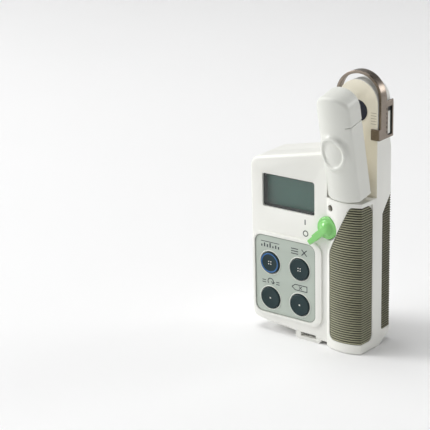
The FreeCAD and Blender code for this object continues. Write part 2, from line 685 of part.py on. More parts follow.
panel = rounded(panel_mid, s.panel_wide - 0.4, s.panel_tall - 0.4, s.panel_corner - 0.2, -s.panel_thick, 0)
dome_top = "(Sizes.board_depth - Sizes.dome_sheet - Sizes.dome_rise + Sizes.key_proud)"
stem_end = dome_top + " - Sizes.key_travel - 0.1"
flange_start = "(Sizes.wall + 0.15 + Sizes.key_proud)"
key_profile = [
    ("0", "0.25"), ("Sizes.key_radius * 0.6", "0.2"), ("Sizes.key_radius - Sizes.key_edge", "0"),
    ("Sizes.key_radius", "Sizes.key_edge"), ("Sizes.key_radius", flange_start),
    ("Sizes.key_radius + Sizes.key_flange", flange_start),
    ("Sizes.key_radius + Sizes.key_flange", flange_start + " + Sizes.flange_thick"),
    ("Sizes.dome_radius / 2", flange_start + " + Sizes.flange_thick"),
    ("Sizes.dome_radius / 2", stem_end), ("0", stem_end),
]
domes = [slab(s.key_left - s.dome_edge, s.key_left + s.key_pitch_x + s.dome_edge,
              s.board_depth - s.dome_sheet, s.board_depth,
              s.key_base - s.dome_edge, s.key_base + s.key_pitch_z + s.dome_edge)]
for label, (column, line) in keys.items():
    x, z = key_place(column, line)
    panel = panel.cut(disc(x, z, s.key_radius + 0.4, -5, 5))
    turned(label, key_profile, (x, -s.key_proud, z))
    domes.append(disc(x, z, s.dome_radius, s.board_depth - s.dome_sheet - s.dome_rise,
                      s.board_depth - s.dome_sheet / 2))
modelled("key_panel", panel)
modelled("key_membrane", joined(domes))


# ---- circuit board and what it carries ----

board_left, board_right = s.wall + 1.2, grip_left - 2.5
board_tab = (grip_left + 6.0, lever[1] - 8.0, ledge - s.wall - 0.5)
board = prism([
    (board_left, s.panel_base + 1.6, 1.0), (board_right, s.panel_base + 1.6, 1.0),
    (board_right, board_tab[1], 0), (board_tab[0], board_tab[1], 1.0), (board_tab[0], board_tab[2], 1.0),
    (board_right, board_tab[2], 0), (board_right, top_at(board_right) - 6, 1.0),
    (board_left, top_at(board_left) - 4.5, 1.0),
], "XZ", s.board_depth, board_back)
for x, z in case_screws:
    board = board.cut(disc(x, z, s.boss_radius + 0.3, 0, reach))
for x, z in board_screws:
    board = board.cut(disc(x, z, 1.2, 0, reach))
modelled("main_board", board)
pins = [disc(x, z, s.hole_radius, s.wall + 1, board_back).fuse(
    disc(x, z, 2 * s.hole_radius, board_back, board_back + 1.2)) for x, z in board_screws]
modelled("board_screws", Part.makeCompound(pins))
turned("buzzer", drum("6", "0", "3"), (window_mid[0] + 12, board_back, window_base - 10))
x, z = lever
block = box("switch_block", (x - s.switch_half, s.wall + 1.2, z - s.switch_half), "2 * Sizes.switch_half",
            "Sizes.board_depth - Sizes.wall - 1.2", "2 * Sizes.switch_half")
bore = round_bar("switch_bore", (x, 0, z), "Sizes.spindle_radius + 0.1", "Sizes.board_depth - 0.8")
keep(cut("switch_body", block, bore), "power_switch")
x, z = trimmer
block = box("trimmer_block", (x - s.trimmer_half, s.wall + 1.3, z - s.trimmer_half), "2 * Sizes.trimmer_half",
            "Sizes.board_depth - Sizes.wall - 1.3", "2 * Sizes.trimmer_half")
bore = round_bar("trimmer_bore", (x, 0, z), "Sizes.trimmer_radius + Sizes.running_gap", "Sizes.wall + 2.2")
keep(cut("trimmer_case", block, bore), "trimmer_body")
barrel = round_bar("trimmer_barrel", (x, s.wall + 0.2, z), "Sizes.trimmer_radius", "1.95")
slot = box("trimmer_slot", (x - 2, 0, z - s.slot_half), "4", "Sizes.wall + 0.8", "2 * Sizes.slot_half")
keep(cut("trimmer_turned", barrel, slot), "trimmer_screw")


# ---- power lever ----

x, z = lever
cap_rim = Part.makeCone(s.lever_radius - 1.3, s.lever_radius, 1.6, Vector(x, -2.2, z), Vector(0, 1, 0))
cap = cap_rim.fuse(disc(x, z, s.lever_radius, -0.6, -0.15))
arm_long = s.lever_reach * 0.62
half_bar = s.lever_wide / 2
thick_bar = slab(x - arm_long, x + 1.5, -4.6, -1.0, z - half_bar, z + half_bar)
tip = slab(x - s.lever_reach, x, -3.6, -1.0, z - half_bar + 0.5, z + half_bar - 0.5)
grab = thick_bar.fuse(tip)
grab.rotate(Vector(x, 0, z), Vector(0, 1, 0), -s.lever_angle)
spindle = disc(x, z, s.spindle_radius, -1.0, s.board_depth - 1.0)
modelled("power_lever", joined([cap, grab, spindle]))


# ---- battery pieces ----

cell_end = s.cell_left + s.cell_long
cell_rows = {"lower_cell": s.cell_base, "upper_cell": s.cell_base + s.cell_pitch}
cell_depth = s.case_depth - back_wall - s.cell_radius - 0.15
tray_low = s.cell_base - s.cell_radius - s.tray_side
tray_high = s.cell_base + s.cell_pitch + s.cell_radius + s.tray_side
tray_left, tray_right = s.cell_left - s.tray_end, cell_end + s.tray_end
tray_front = cell_depth - s.cell_radius - 0.3
room_long = "Sizes.cell_long + 2 * Sizes.tray_end"
room_tall = "Sizes.cell_pitch + 2 * Sizes.cell_radius + 2 * Sizes.tray_side"
tray = box("tray_block", (tray_left - s.tray_wall, tray_front - 1, tray_low - s.tray_wall),
           room_long + " + 2 * Sizes.tray_wall", "2 * Sizes.cell_radius + 1.45",
           room_tall + " + 2 * Sizes.tray_wall")
room = box("tray_room", (tray_left, tray_front, tray_low), room_long, "Sizes.case_depth", room_tall)
keep(cut("tray_cut", tray, room), "battery_tray")
cell_profile = [
    ("0", "0"), ("Sizes.cell_radius - 0.5", "0"), ("Sizes.cell_radius", "0.5"),
    ("Sizes.cell_radius", "Sizes.cell_long - 0.5"), ("Sizes.cell_radius - 0.5", "Sizes.cell_long"),
    ("2.7", "Sizes.cell_long"), ("2.7", "Sizes.cell_long + 1"), ("0", "Sizes.cell_long + 1"),
]
spring_end, stud_end = tray_left + s.contact_thick, tray_right - s.contact_thick
springs = [slab(tray_left, spring_end, cell_depth - 6, cell_depth + 6, tray_low + 1, tray_high - 1)]
studs = [slab(stud_end, tray_right, cell_depth - 6, cell_depth + 6, tray_low + 1, tray_high - 1)]
for label, z in cell_rows.items():
    turned(label, cell_profile, (s.cell_left, cell_depth, z), quarter_turn)
    start = Vector(spring_end, cell_depth, z)
    springs.append(Part.makeCone(4.2, 2.6, 2.3, start, Vector(1, 0, 0)).cut(
        Part.makeCone(3.4, 1.8, 2.3, start, Vector(1, 0, 0))))
    studs.append(bar(cell_depth, z, 2.0, cell_end + 1, stud_end))
modelled("contact_springs", joined(springs))
modelled("contact_studs", joined(studs))


# ---- hinge at the top of the grip ----

ear_gap = s.lug_wide / 2 + 0.2
base_plate = slab(lug_mid - ear_gap - 3, lug_mid + ear_gap + 3, s.parting + 0.05, s.jaw_face,
                  hinge_z - 6.0, ledge - 0.6)
bracket = [base_plate]
for side in (-1, 1):
    inner, outer = lug_mid + side * ear_gap, lug_mid + side * (ear_gap + s.bracket_ear)
    bracket.append(slab(min(inner, outer), max(inner, outer), s.hinge_depth - 3.2, s.jaw_face,
                        hinge_z - 3.2, ledge - s.wall - 0.3))
pin_long = 2 * (ear_gap + s.bracket_ear)
pin_hole = bar(s.hinge_depth, hinge_z, s.pin_radius, lug_mid - pin_long, lug_mid + pin_long)
modelled("hinge_bracket", joined(bracket).cut(pin_hole))
sheet_pin = "(2 * (Sizes.lug_wide / 2 + 0.2 + Sizes.bracket_ear))"
pin_profile = [
    ("0", "0"), ("Sizes.pin_radius + 0.6", "0"), ("Sizes.pin_radius + 0.6", "0.7"),
    ("Sizes.pin_radius", "0.7"), ("Sizes.pin_radius", sheet_pin + " + 1.2"), ("0", sheet_pin + " + 1.2"),
]
pin_start = lug_mid - ear_gap - s.bracket_ear - 0.7
turned("hinge_pin", pin_profile, (pin_start, s.hinge_depth, hinge_z), quarter_turn)
coil_mid = lug_mid + ear_gap + s.bracket_ear + 1.4
coil = [Part.makeTorus(1.9, 0.35, Vector(coil_mid + step * 0.66, s.hinge_depth, hinge_z), Vector(1, 0, 0))
        for step in (-1, 0, 1)]
coil.append(slab(coil_mid - 0.3, coil_mid + 0.3, s.hinge_depth, s.parting, hinge_z + 1.6, hinge_z + 2.2))
modelled("head_spring", joined(coil))
switch_top = hinge_z - 6.0
block = box("closing_block", (lug_mid - 4, s.hinge_depth - 3, switch_top - 5.5), "8",
            "Sizes.jaw_face - Sizes.hinge_depth + 3", "5.5")
stem = round_bar("closing_stem", (lug_mid, s.hinge_depth, switch_top), "1", "0.9", FreeCAD.Rotation())
keep(fused("closing_body", [block, stem]), "closing_switch")


# ---- measuring head, drawn closed and then opened about its hinge ----

def head_block(grow, rear, base, top, corner):
    """The head between two heights, its outline drawn in by grow, with a round top."""
    ridge = (head_right - s.ridge_inset, s.head_ridge)
    block = crowned(head_left, 0.6, -s.head_bulge, ridge, head_right, rear, base, top, grow)
    face = [(head_left - grow, base, 0), (head_right + grow, base, 0), (head_right + grow, top, corner),
            (head_left - grow, top, corner)]
    return block.common(prism(face, "XZ", -reach, reach))


dish_z = ledge + s.dish_height
dish_x = (head_left + head_right) / 2 - 2.0
outer = head_block(0, s.head_rear, head_base, head_top, s.head_round)
hollow = head_block(-s.head_wall, s.head_rear + 4, head_base + s.head_wall, head_top - s.head_wall,
                    s.head_round - s.head_wall)
hollow = hollow.cut(slab(head_left, head_right, -reach, 1.2, dish_z - 12, dish_z + 12))
hood = ellipsoid((dish_x + 0.6, 1.4 - s.head_bulge, dish_z - 0.5), (9.2, 2.6, 11.6))
dish = ellipsoid((dish_x, -2.4 - s.head_bulge, dish_z), (7.3, 3.8, 9.3))
lug = slab(lug_mid - s.lug_wide / 2, lug_mid + s.lug_wide / 2, s.hinge_depth - s.lug_deep / 2,
           s.hinge_depth + s.lug_deep / 2 - 1.4, hinge_z, head_base + 1)
knuckle = bar(s.hinge_depth, hinge_z, s.lug_deep / 2, lug_mid - s.lug_wide / 2, lug_mid + s.lug_wide / 2)
pin_room = bar(s.hinge_depth, hinge_z, s.pin_radius + s.running_gap, lug_mid - 9, lug_mid + 9)
head_shell = joined([outer, hood, lug, knuckle]).cut(hollow.cut(hood)).cut(dish).cut(pin_room)
modelled("head_shell", head_shell, opened)

cover_front = s.head_rear - 1.6
cover = head_block(-s.head_wall - 0.1, s.head_rear + 4, head_base + s.head_wall + 0.1,
                   head_top - s.head_wall - 0.1, s.head_round - s.head_wall)
cover = cover.common(slab(0, reach * 3, cover_front, s.head_rear, 0, reach * 5))
pad_face = s.jaw_face - 0.55
nose = rounded((jaw_centre, sample_z), 2 * s.pad_radius + 3.4, 2 * s.pad_radius + 4.4, 5.0,
               s.head_rear - 0.5, pad_face - s.pad_thick)
cover = joined([cover, nose])
cover = cover.cut(disc(jaw_centre, sample_z, s.emitter_radius + s.press_gap, 0, reach))
for x, z in head_screws:
    cover = cover.cut(disc(x, z, s.hole_radius, 0, reach)).cut(disc(x, z, 1.9, s.head_rear - 0.8, reach))
modelled("head_cover", cover, opened)
posts = [disc(x, z, s.hole_radius - s.press_gap, s.head_rear - 6, s.head_rear - 0.8).fuse(
    disc(x, z, 1.85, s.head_rear - 0.8, s.head_rear)).cut(
        slab(x - 1.3, x + 1.3, s.head_rear - 0.4, reach, z - 0.25, z + 0.25)) for x, z in head_screws]
modelled("head_screws", Part.makeCompound(posts), opened)
ring_profile = [
    ("Sizes.emitter_radius + 0.05", "0"), ("Sizes.pad_radius", "0"),
    ("Sizes.pad_radius", "Sizes.pad_thick"), ("Sizes.emitter_radius + 0.05", "Sizes.pad_thick"),
]
turned("receptor_pad", ring_profile, (jaw_centre, pad_face - s.pad_thick, sample_z), place=opened)
turned("receptor_window", drum("Sizes.emitter_radius", "0", "1.6"), (jaw_centre, pad_face - 2.0, sample_z),
       place=opened)
turned("photodiode", drum("2.5", "0", "3.0"), (jaw_centre, cover_front - 3.1, sample_z), place=opened)
keep(box("receiver_block", (jaw_centre - 7, cover_front - 4.4, sample_z - 8), "14", "1.3", "16"),
     "sensor_board", opened)


# ---- jaw pieces ----

turned("emitter_pad", ring_profile, (jaw_centre, s.jaw_face + 0.6 - s.pad_thick, sample_z))
turned("emitter_window", drum("Sizes.emitter_radius", "0", "Sizes.wall"),
       (jaw_centre, s.jaw_face - 0.1, sample_z))
lamp_front = s.jaw_face + s.wall + 1.0
holder = round_bar("holder_block", (jaw_centre, s.jaw_face + s.wall, sample_z), "Sizes.holder_radius", "5.5")
bores = [round_bar("light_bore", (jaw_centre, s.jaw_face, sample_z), "Sizes.emitter_radius",
                   "Sizes.wall + 1.5")]
for name, side in (("red_bore", -1), ("infrared_bore", 1)):
    bores.append(round_bar(name, (jaw_centre + side * s.lamp_side, lamp_front, sample_z),
                           "Sizes.lamp_radius + Sizes.running_gap", "Sizes.case_depth"))
keep(cut("holder_cut", holder, fused("holder_bores", bores)), "emitter_holder")
lamp_profile = [
    ("0", "0"), ("0.6 * Sizes.lamp_radius", "0.25"), ("Sizes.lamp_radius", "1.1"),
    ("Sizes.lamp_radius", "4.6"), ("Sizes.lamp_radius + 0.4", "4.6"),
    ("Sizes.lamp_radius + 0.4", "5.4"), ("0", "5.4"),
]
turned("red_lamp", lamp_profile, (jaw_centre - s.lamp_side, lamp_front + 0.1, sample_z))
turned("infrared_lamp", lamp_profile, (jaw_centre + s.lamp_side, lamp_front + 0.1, sample_z))


# ---- depth stop ----

def arch(radius, y0, y1, leg):
    """A half disc over a straight leg of the same width, between two depths."""
    left, right = jaw_centre - radius, jaw_centre + radius
    corners = [(left, strip_z - leg, 0), (right, strip_z - leg, 0),
               (right, strip_z + radius, radius - fine), (left, strip_z + radius, radius - fine)]
    return prism(corners, "XZ", y0, y1)


strip_inner = strip_outer - s.strip_thick
strip_back = strip_front + s.strip_wide
left_leg = 6.0
leg_back = strip_front + s.leg_deep
right = jaw_centre + strip_outer
band = arch(strip_outer, strip_front, strip_back, left_leg).cut(
    arch(strip_inner, strip_front + s.strip_thick, strip_back + 1, left_leg + 1)).cut(
        arch(s.jaw_radius + s.lip_gap, strip_front - 1, strip_back + 1, left_leg + 1))
inner_side = right - s.strip_thick
leg_low, leg_high = strip_z - s.leg_drop, strip_z - 2.5
leg = slab(inner_side, right, strip_front, strip_back, leg_low, strip_z).fuse(
    slab(inner_side, right, strip_back - 1, leg_back, leg_low, leg_high))
leg = leg.cut(slab(inner_side - 1, right + 1, strip_back + s.leg_rail, leg_back - s.leg_rail,
                   leg_low + 1.4, leg_high - 2.6))
ear_front, ear_top = s.jaw_face - 1.1, leg_low + s.ear_tall
ear = slab(right - s.ear_wide, right, ear_front, ear_front + s.strip_thick, leg_low, ear_top)
ear = ear.fuse(slab(inner_side, right, ear_front, strip_front + 1, leg_low, ear_top))
fold = slab(inner_side - 0.2, right, strip_back - 1, leg_back, leg_high, leg_high + 0.9)
dimples = []
for z in (leg_low + 4.0, leg_low + 14.0):
    start = Vector(s.case_width + 0.1, strip_front + 3, z)
    dimples.append(Part.makeCone(0.8, 1.6, s.stop_gap - 0.1, start, Vector(1, 0, 0)))
modelled("depth_stop", joined([band, leg, ear, fold] + dimples))


# ---- checks, then the files ----

doc.recompute()
failed = [o.Label for o in doc.Objects if "Invalid" in o.State or "Error" in o.State]
empty = [item.Label for item in sub_parts if item.Shape.isNull() or not item.Shape.isValid()]
if failed or empty:
    raise RuntimeError(f"failed: {failed}, no valid shape: {empty}")
os.makedirs("parts", exist_ok=True)
for item in sub_parts:
    item.Shape.exportStep(f"parts/{item.Label}.step")
    print(f"{item.Label}: {len(item.Shape.Solids)} solid(s), {item.Shape.Volume / 1000:.2f} cm3")
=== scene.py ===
import bpy
import bmesh
import json
import math
import numpy as np
from mathutils import Matrix, Vector

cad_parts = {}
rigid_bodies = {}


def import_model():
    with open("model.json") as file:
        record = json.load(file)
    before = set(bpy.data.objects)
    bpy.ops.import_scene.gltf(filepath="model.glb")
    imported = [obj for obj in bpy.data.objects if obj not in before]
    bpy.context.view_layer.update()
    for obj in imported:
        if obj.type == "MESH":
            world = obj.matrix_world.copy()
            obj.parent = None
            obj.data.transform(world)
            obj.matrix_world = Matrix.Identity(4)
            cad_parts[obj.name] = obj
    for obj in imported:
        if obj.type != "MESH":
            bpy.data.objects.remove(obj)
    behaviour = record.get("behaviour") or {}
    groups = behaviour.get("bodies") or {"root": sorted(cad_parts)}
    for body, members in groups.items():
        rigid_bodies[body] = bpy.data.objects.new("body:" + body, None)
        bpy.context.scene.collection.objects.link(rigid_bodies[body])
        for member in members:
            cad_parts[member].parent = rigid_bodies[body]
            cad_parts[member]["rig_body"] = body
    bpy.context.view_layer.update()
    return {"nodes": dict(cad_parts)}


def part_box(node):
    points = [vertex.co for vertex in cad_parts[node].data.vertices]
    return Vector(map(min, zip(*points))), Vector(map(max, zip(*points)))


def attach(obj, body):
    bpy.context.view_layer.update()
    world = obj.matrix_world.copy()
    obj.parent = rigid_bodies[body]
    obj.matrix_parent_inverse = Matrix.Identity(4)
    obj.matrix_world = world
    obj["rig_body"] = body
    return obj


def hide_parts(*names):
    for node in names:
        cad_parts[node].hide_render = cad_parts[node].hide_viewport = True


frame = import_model()
scene = bpy.context.scene
print("frame loaded:", len(frame["nodes"]), "nodes")

# Drafting millimetres: x from the case's left edge, y from the display face to the back, z from the ground.
mm = 0.001
caseLow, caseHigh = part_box("back_shell")
caseWide, caseDepth = 78.0, 31.0   # the body alone, without the stop beside the jaw
origin = Vector((caseLow.x, caseHigh.y - caseDepth * mm, caseLow.z))
hinge = {"y": 9.0, "z": 87.0, "open": 12.5}   # the head's axis, and its angle at rest in degrees


def at(x, y, z):
    return origin + Vector((x, y, z)) * mm


def opened(points):
    # Closed drafting points of the head, turned about its hinge to where it rests.
    points = np.array(points, float)
    turn = math.radians(hinge["open"])
    y, z = points[:, 1] - hinge["y"], points[:, 2] - hinge["z"]
    points[:, 1] = hinge["y"] + y * math.cos(turn) - z * math.sin(turn)
    points[:, 2] = hinge["z"] + y * math.sin(turn) + z * math.cos(turn)
    return points


def addNode(tree, kind, inputs=None, **settings):
    node = tree.nodes.new(kind)
    for key, value in settings.items():
        setattr(node, key, value)
    for key, value in (inputs or {}).items():
        socket = node.inputs[key]
        if isinstance(value, bpy.types.NodeSocket):
            tree.links.new(value, socket)
        else:
            socket.default_value = value
    return node


def reckon(tree, operation, *values):
    return addNode(tree, "ShaderNodeMath", dict(enumerate(values)), operation=operation).outputs[0]


def linear(hexColour):
    parts = [int(hexColour[i:i + 2], 16) / 255 for i in (1, 3, 5)]
    return [c / 12.92 if c <= 0.04045 else ((c + 0.055) / 1.055) ** 2.4 for c in parts] + [1.0]


# Every finish starts from the real material: grain and cloud are its pattern sizes in millimetres.
finishes = {
    # injection-moulded ABS, spark-eroded tool: a fine satin grain, warm white
    "satinAbs": {"colour": "#EFEFEA", "shade": "#E9E9E2", "rough": 0.36, "grain": 0.35, "cloud": 30.0,
                 "relief": 0.10},
    # the same resin in the head, a little greyer from handling
    "handledAbs": {"colour": "#E3E4DE", "shade": "#DBDCD4", "rough": 0.34, "grain": 0.35, "cloud": 18.0,
                   "relief": 0.10},
    # ivory ABS of the jaw and inner faces, a little aged
    "agedAbs": {"colour": "#EEE9D8", "shade": "#E6E0CC", "rough": 0.42, "grain": 0.35, "cloud": 14.0,
                "relief": 0.08},
    # olive-grey TPE: matt, its hollows between the ribs painted darker as shade
    "gripTpe": {"colour": "#A9A98D", "shade": "#9A997D", "rough": 0.62, "grain": 0.5, "cloud": 9.0,
                "relief": 0.25, "spread": 0.10, "ribs": (1.45, 6.2, "#34332A")},
    # darker TPE of the rear patch, its hollows between the ribs painted darker as shade
    "rearTpe": {"colour": "#85836A", "shade": "#75735B", "rough": 0.66, "grain": 0.5, "cloud": 9.0,
                "relief": 0.25, "spread": 0.10, "ribs": (1.45, 8.8, "#2C2B21")},
    # silicone keypad, slate blue, slightly waxy
    "slateSilicone": {"colour": "#183336", "shade": "#12292C", "rough": 0.46, "grain": 0.3, "cloud": 6.0,
                      "relief": 0.12, "ior": 1.41},
    # screen-printed polycarbonate film: fine embossed sand texture
    "printedFilm": {"colour": "#BBC4BA", "shade": "#B0BAB0", "rough": 0.46, "grain": 0.4, "cloud": 22.0,
                    "relief": 0.12},
    # printing ink, dark grey
    "darkInk": {"colour": "#3E4448", "shade": "#34393D", "rough": 0.55, "grain": 0.2, "cloud": 4.0,
                "relief": 0.05},
    # painted shade of the gap round the film, a grey line
    "gapShade": {"colour": "#8C938A", "shade": "#828980", "rough": 0.55, "grain": 0.2, "cloud": 6.0,
                "relief": 0.05},
    # printing ink, white
    "whiteInk": {"colour": "#F1F2EC", "shade": "#E6E7E0", "rough": 0.5, "grain": 0.2, "cloud": 4.0,
                 "relief": 0.05},
    # printing ink, blue ring
    "blueInk": {"colour": "#2F6CAA", "shade": "#285F98", "rough": 0.45, "grain": 0.2, "cloud": 4.0,
                "relief": 0.05},
    # cast acrylic, clear and polished
    "clearAcrylic": {"colour": "#F4FAF8", "shade": "#EEF6F3", "rough": 0.06, "grain": 2.0, "cloud": 30.0,
                     "relief": 0.01, "spread": 0.02, "alpha": 0.04, "ior": 1.49},
    # the panel film round the keys, lighter as a painted highlight on their rims
    "rimHighlightFilm": {"colour": "#DDE1D9", "shade": "#D3D8CF", "rough": 0.35, "grain": 0.4, "cloud": 12.0,
                  "relief": 0.05},
    # shallow moulded scale lines, their grooves shown as thin brown-grey lines of painted shade
    "tickShade": {"colour": "#B3AB97", "shade": "#A59D8A", "rough": 0.6, "grain": 0.3, "cloud": 5.0,
                "relief": 0.1},
    # liquid crystal glass over a reflector, teal grey
    "crystalGlass": {"colour": "#26564A", "shade": "#1F4A3F", "rough": 0.22, "grain": 0.6, "cloud": 26.0,
                     "relief": 0.02},
    # black glass-filled nylon
    "blackNylon": {"colour": "#17191B", "shade": "#101213", "rough": 0.45, "grain": 0.3, "cloud": 8.0,
                   "relief": 0.15},
    # soft silicone seal, grey
    "sealSilicone": {"colour": "#8B8C86", "shade": "#7E7F79", "rough": 0.6, "grain": 0.4, "cloud": 8.0,
                     "relief": 0.1},
    # epoxy glass laminate with green solder mask
    "solderMask": {"colour": "#1F6B45", "shade": "#185538", "rough": 0.3, "grain": 0.5, "cloud": 5.0,
                   "relief": 0.2},
    # zinc-plated mild steel
    "zincSteel": {"colour": "#B9BBBD", "shade": "#A6A9AC", "rough": 0.28, "grain": 0.3, "cloud": 3.0,
                  "relief": 0.1, "metal": 1.0},
    # turned brass
    "turnedBrass": {"colour": "#C9A24F", "shade": "#B08A3C", "rough": 0.25, "grain": 0.2, "cloud": 1.5,
                    "relief": 0.1, "metal": 1.0},
    # glossy green acetal
    "greenAcetal": {"colour": "#8FD57F", "shade": "#82CB72", "rough": 0.20, "grain": 0.4, "cloud": 8.0,
                    "relief": 0.05},
    # cold-rolled stainless strip, polished across, its warm brown tint a painted reflection of its
    # surroundings
    "stopSteel": {"colour": "#988D82", "shade": "#7F756B", "rough": 0.27, "grain": 0.25, "cloud": 5.0,
                  "relief": 0.12, "metal": 1.0, "drawn": (1.0, 18.0, 1.0)},
    # closed-cell foam pad, navy black
    "padFoam": {"colour": "#1B2030", "shade": "#131722", "rough": 0.75, "grain": 0.35, "cloud": 3.0,
                "relief": 0.4},
    # shrink sleeve of a dry cell
    "cellSleeve": {"colour": "#30343A", "shade": "#24272C", "rough": 0.25, "grain": 1.0, "cloud": 10.0,
                   "relief": 0.05},
    # clear epoxy of a lamp, faintly red
    "lampEpoxy": {"colour": "#C8A8A2", "shade": "#BD9690", "rough": 0.12, "grain": 0.6, "cloud": 3.0,
                  "relief": 0.02, "ior": 1.55},
}


def mixed(name, look):
    material = bpy.data.materials.new(name)
    material.use_nodes = True
    tree = material.node_tree
    tree.nodes.clear()
    spread = look.get("spread", 0.05)
    place = addNode(tree, "ShaderNodeTexCoord").outputs["Object"]
    laid = addNode(tree, "ShaderNodeMapping", {"Vector": place, "Scale": look.get("drawn", (1.0, 1.0, 1.0))})
    speck = addNode(tree, "ShaderNodeTexNoise", {
        "Vector": laid.outputs["Vector"], "Scale": 1 / (look["grain"] * mm), "Detail": 4.0, "Roughness": 0.6})
    cloud = addNode(tree, "ShaderNodeTexNoise", {
        "Vector": place, "Scale": 1 / (look["cloud"] * mm), "Detail": 3.0})
    tone = addNode(tree, "ShaderNodeMix", data_type="RGBA", inputs={
        "Factor": cloud.outputs["Fac"]})
    tone.inputs[6].default_value = linear(look["colour"])
    tone.inputs[7].default_value = linear(look["shade"])
    rough = addNode(tree, "ShaderNodeMapRange", {
        "Value": speck.outputs["Fac"], "From Min": 0.3, "From Max": 0.7,
        "To Min": look["rough"] - spread, "To Max": look["rough"] + spread})
    relief = addNode(tree, "ShaderNodeBump", {
        "Height": speck.outputs["Fac"], "Strength": look["relief"], "Distance": look["grain"] * mm * 0.25})
    colour = tone.outputs[2]
    if "ribs" in look:
        # painted shade in the grooves, its colour the third entry of ribs: the same pitch and start as the
        # cut ribs
        pitch, start, groove = look["ribs"]
        height = addNode(tree, "ShaderNodeSeparateXYZ", {0: place}).outputs["Z"]
        above = reckon(tree, "SUBTRACT", height, start * mm)
        phase = reckon(tree, "MULTIPLY", above, 2 * math.pi / (pitch * mm))
        wave = reckon(tree, "COSINE", phase)
        deep = addNode(tree, "ShaderNodeMapRange", {
            "Value": wave, "From Min": -0.7, "From Max": 0.5, "To Min": 0.0, "To Max": 1.0}).outputs["Result"]
        grooveShaded = addNode(tree, "ShaderNodeMix", data_type="RGBA", inputs={"Factor": deep})
        tree.links.new(colour, grooveShaded.inputs[6])
        grooveShaded.inputs[7].default_value = linear(groove)
        colour = grooveShaded.outputs[2]
    shader = addNode(tree, "ShaderNodeBsdfPrincipled", {
        "Base Color": colour, "Roughness": rough.outputs["Result"],
        "Normal": relief.outputs["Normal"], "Metallic": look.get("metal", 0.0),
        "Alpha": look.get("alpha", 1.0)})
    if "metal" not in look:
        shader.inputs["IOR"].default_value = look.get("ior", 1.5)
    addNode(tree, "ShaderNodeOutputMaterial", {"Surface": shader.outputs["BSDF"]})
    return material


materials = {name: mixed(name, look) for name, look in finishes.items()}
print("finishes mixed:", len(materials))


def added(name, mesh, finishName, body, nodes=(), smooth=True):
    piece = bpy.data.objects.new(name, mesh)
    scene.collection.objects.link(piece)
    mesh.materials.clear()
    mesh.materials.append(materials[finishName])
    mesh.polygons.foreach_set("use_smooth", [smooth] * len(mesh.polygons))
    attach(piece, body)
    if nodes:
        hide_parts(*nodes)
    return piece


def drawn(name, points, faces, turn=False):
    # A mesh from drafting millimetres. The head's points turn to where it rests.
    points = opened(points) if turn else np.array(points, float)
    mesh = bpy.data.meshes.new(name)
    mesh.from_pydata([tuple(origin + Vector(p) * mm) for p in points], [], faces)
    mesh.validate()
    return mesh


def settled(piece):
    # The mesh that a piece shows, as plain data, and the piece itself goes.
    shown = piece.evaluated_get(bpy.context.evaluated_depsgraph_get())
    mesh = bpy.data.meshes.new_from_object(shown)
    bpy.data.objects.remove(piece)
    return mesh


def reworked(mesh, change):
    # One change made to a mesh through bmesh.
    work = bmesh.new()
    work.from_mesh(mesh)
    change(work)
    work.to_mesh(mesh)
    work.free()


def softened(name, node, width, finishName, segments=3, angle=28.0):
    # A copy of a CAD shell with its hard edges rounded over.
    source = frame["nodes"][node]
    mesh = source.data.copy()

    def cleaned(work):
        bmesh.ops.remove_doubles(work, verts=work.verts, dist=2e-6)
        bmesh.ops.dissolve_limit(work, angle_limit=math.radians(0.6), verts=work.verts, edges=work.edges)

    reworked(mesh, cleaned)
    piece = bpy.data.objects.new(name, mesh)
    scene.collection.objects.link(piece)
    edge = piece.modifiers.new("roundOver", "BEVEL")
    edge.width = width * mm
    edge.segments = segments
    edge.limit_method = "ANGLE"
    edge.angle_limit = math.radians(angle)
    edge.harden_normals = True
    mesh.polygons.foreach_set("use_smooth", [True] * len(mesh.polygons))
    return added(name, settled(piece), finishName, source["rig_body"], [node])


# Case pieces: the CAD's own shells, copied with their edges softened

frontShell = softened("frontShell", "front_shell", 0.45, "satinAbs")
backShell = softened("backShell", "back_shell", 0.45, "satinAbs")
jawFace = {"depth": 14.0, "low": 91.0}        # the jaw's own face is the ivory resin
backShell.data.materials.append(materials["agedAbs"])
for face in backShell.data.polygons:
    spot = (face.center - origin) / mm
    if abs(spot.y - jawFace["depth"]) < 0.3 and spot.z > jawFace["low"] and face.normal.y < -0.9:
        face.material_index = 1
batteryDoor = softened("batteryDoor", "battery_door", 0.25, "satinAbs")
print("case shells rounded")

# CAD pieces shown as they are, by finish
shownAs = {
    "sealSilicone": ["case_gasket", "contact_strip", "key_membrane"],
    "clearAcrylic": ["display_window", "receptor_window"],
    "crystalGlass": ["lcd_module"],
    "blackNylon": ["display_frame", "buzzer", "power_switch", "trimmer_body", "battery_tray",
                   "closing_switch", "photodiode", "emitter_holder"],
    "solderMask": ["main_board", "sensor_board"],
    "zincSteel": ["board_screws", "contact_springs", "contact_studs", "hinge_bracket", "hinge_pin",
                  "head_spring", "head_screws"],
    "turnedBrass": ["trimmer_screw"],
    "cellSleeve": ["lower_cell", "upper_cell"],
    "agedAbs": ["head_cover"],
    "padFoam": ["receptor_pad", "emitter_pad"],
    "lampEpoxy": ["emitter_window", "red_lamp", "infrared_lamp"],
}
for finishName, nodes in shownAs.items():
    for node in nodes:
        mesh = frame["nodes"][node].data
        mesh.materials.clear()
        mesh.materials.append(materials[finishName])

# Shapes worked out as distance fields on a grid

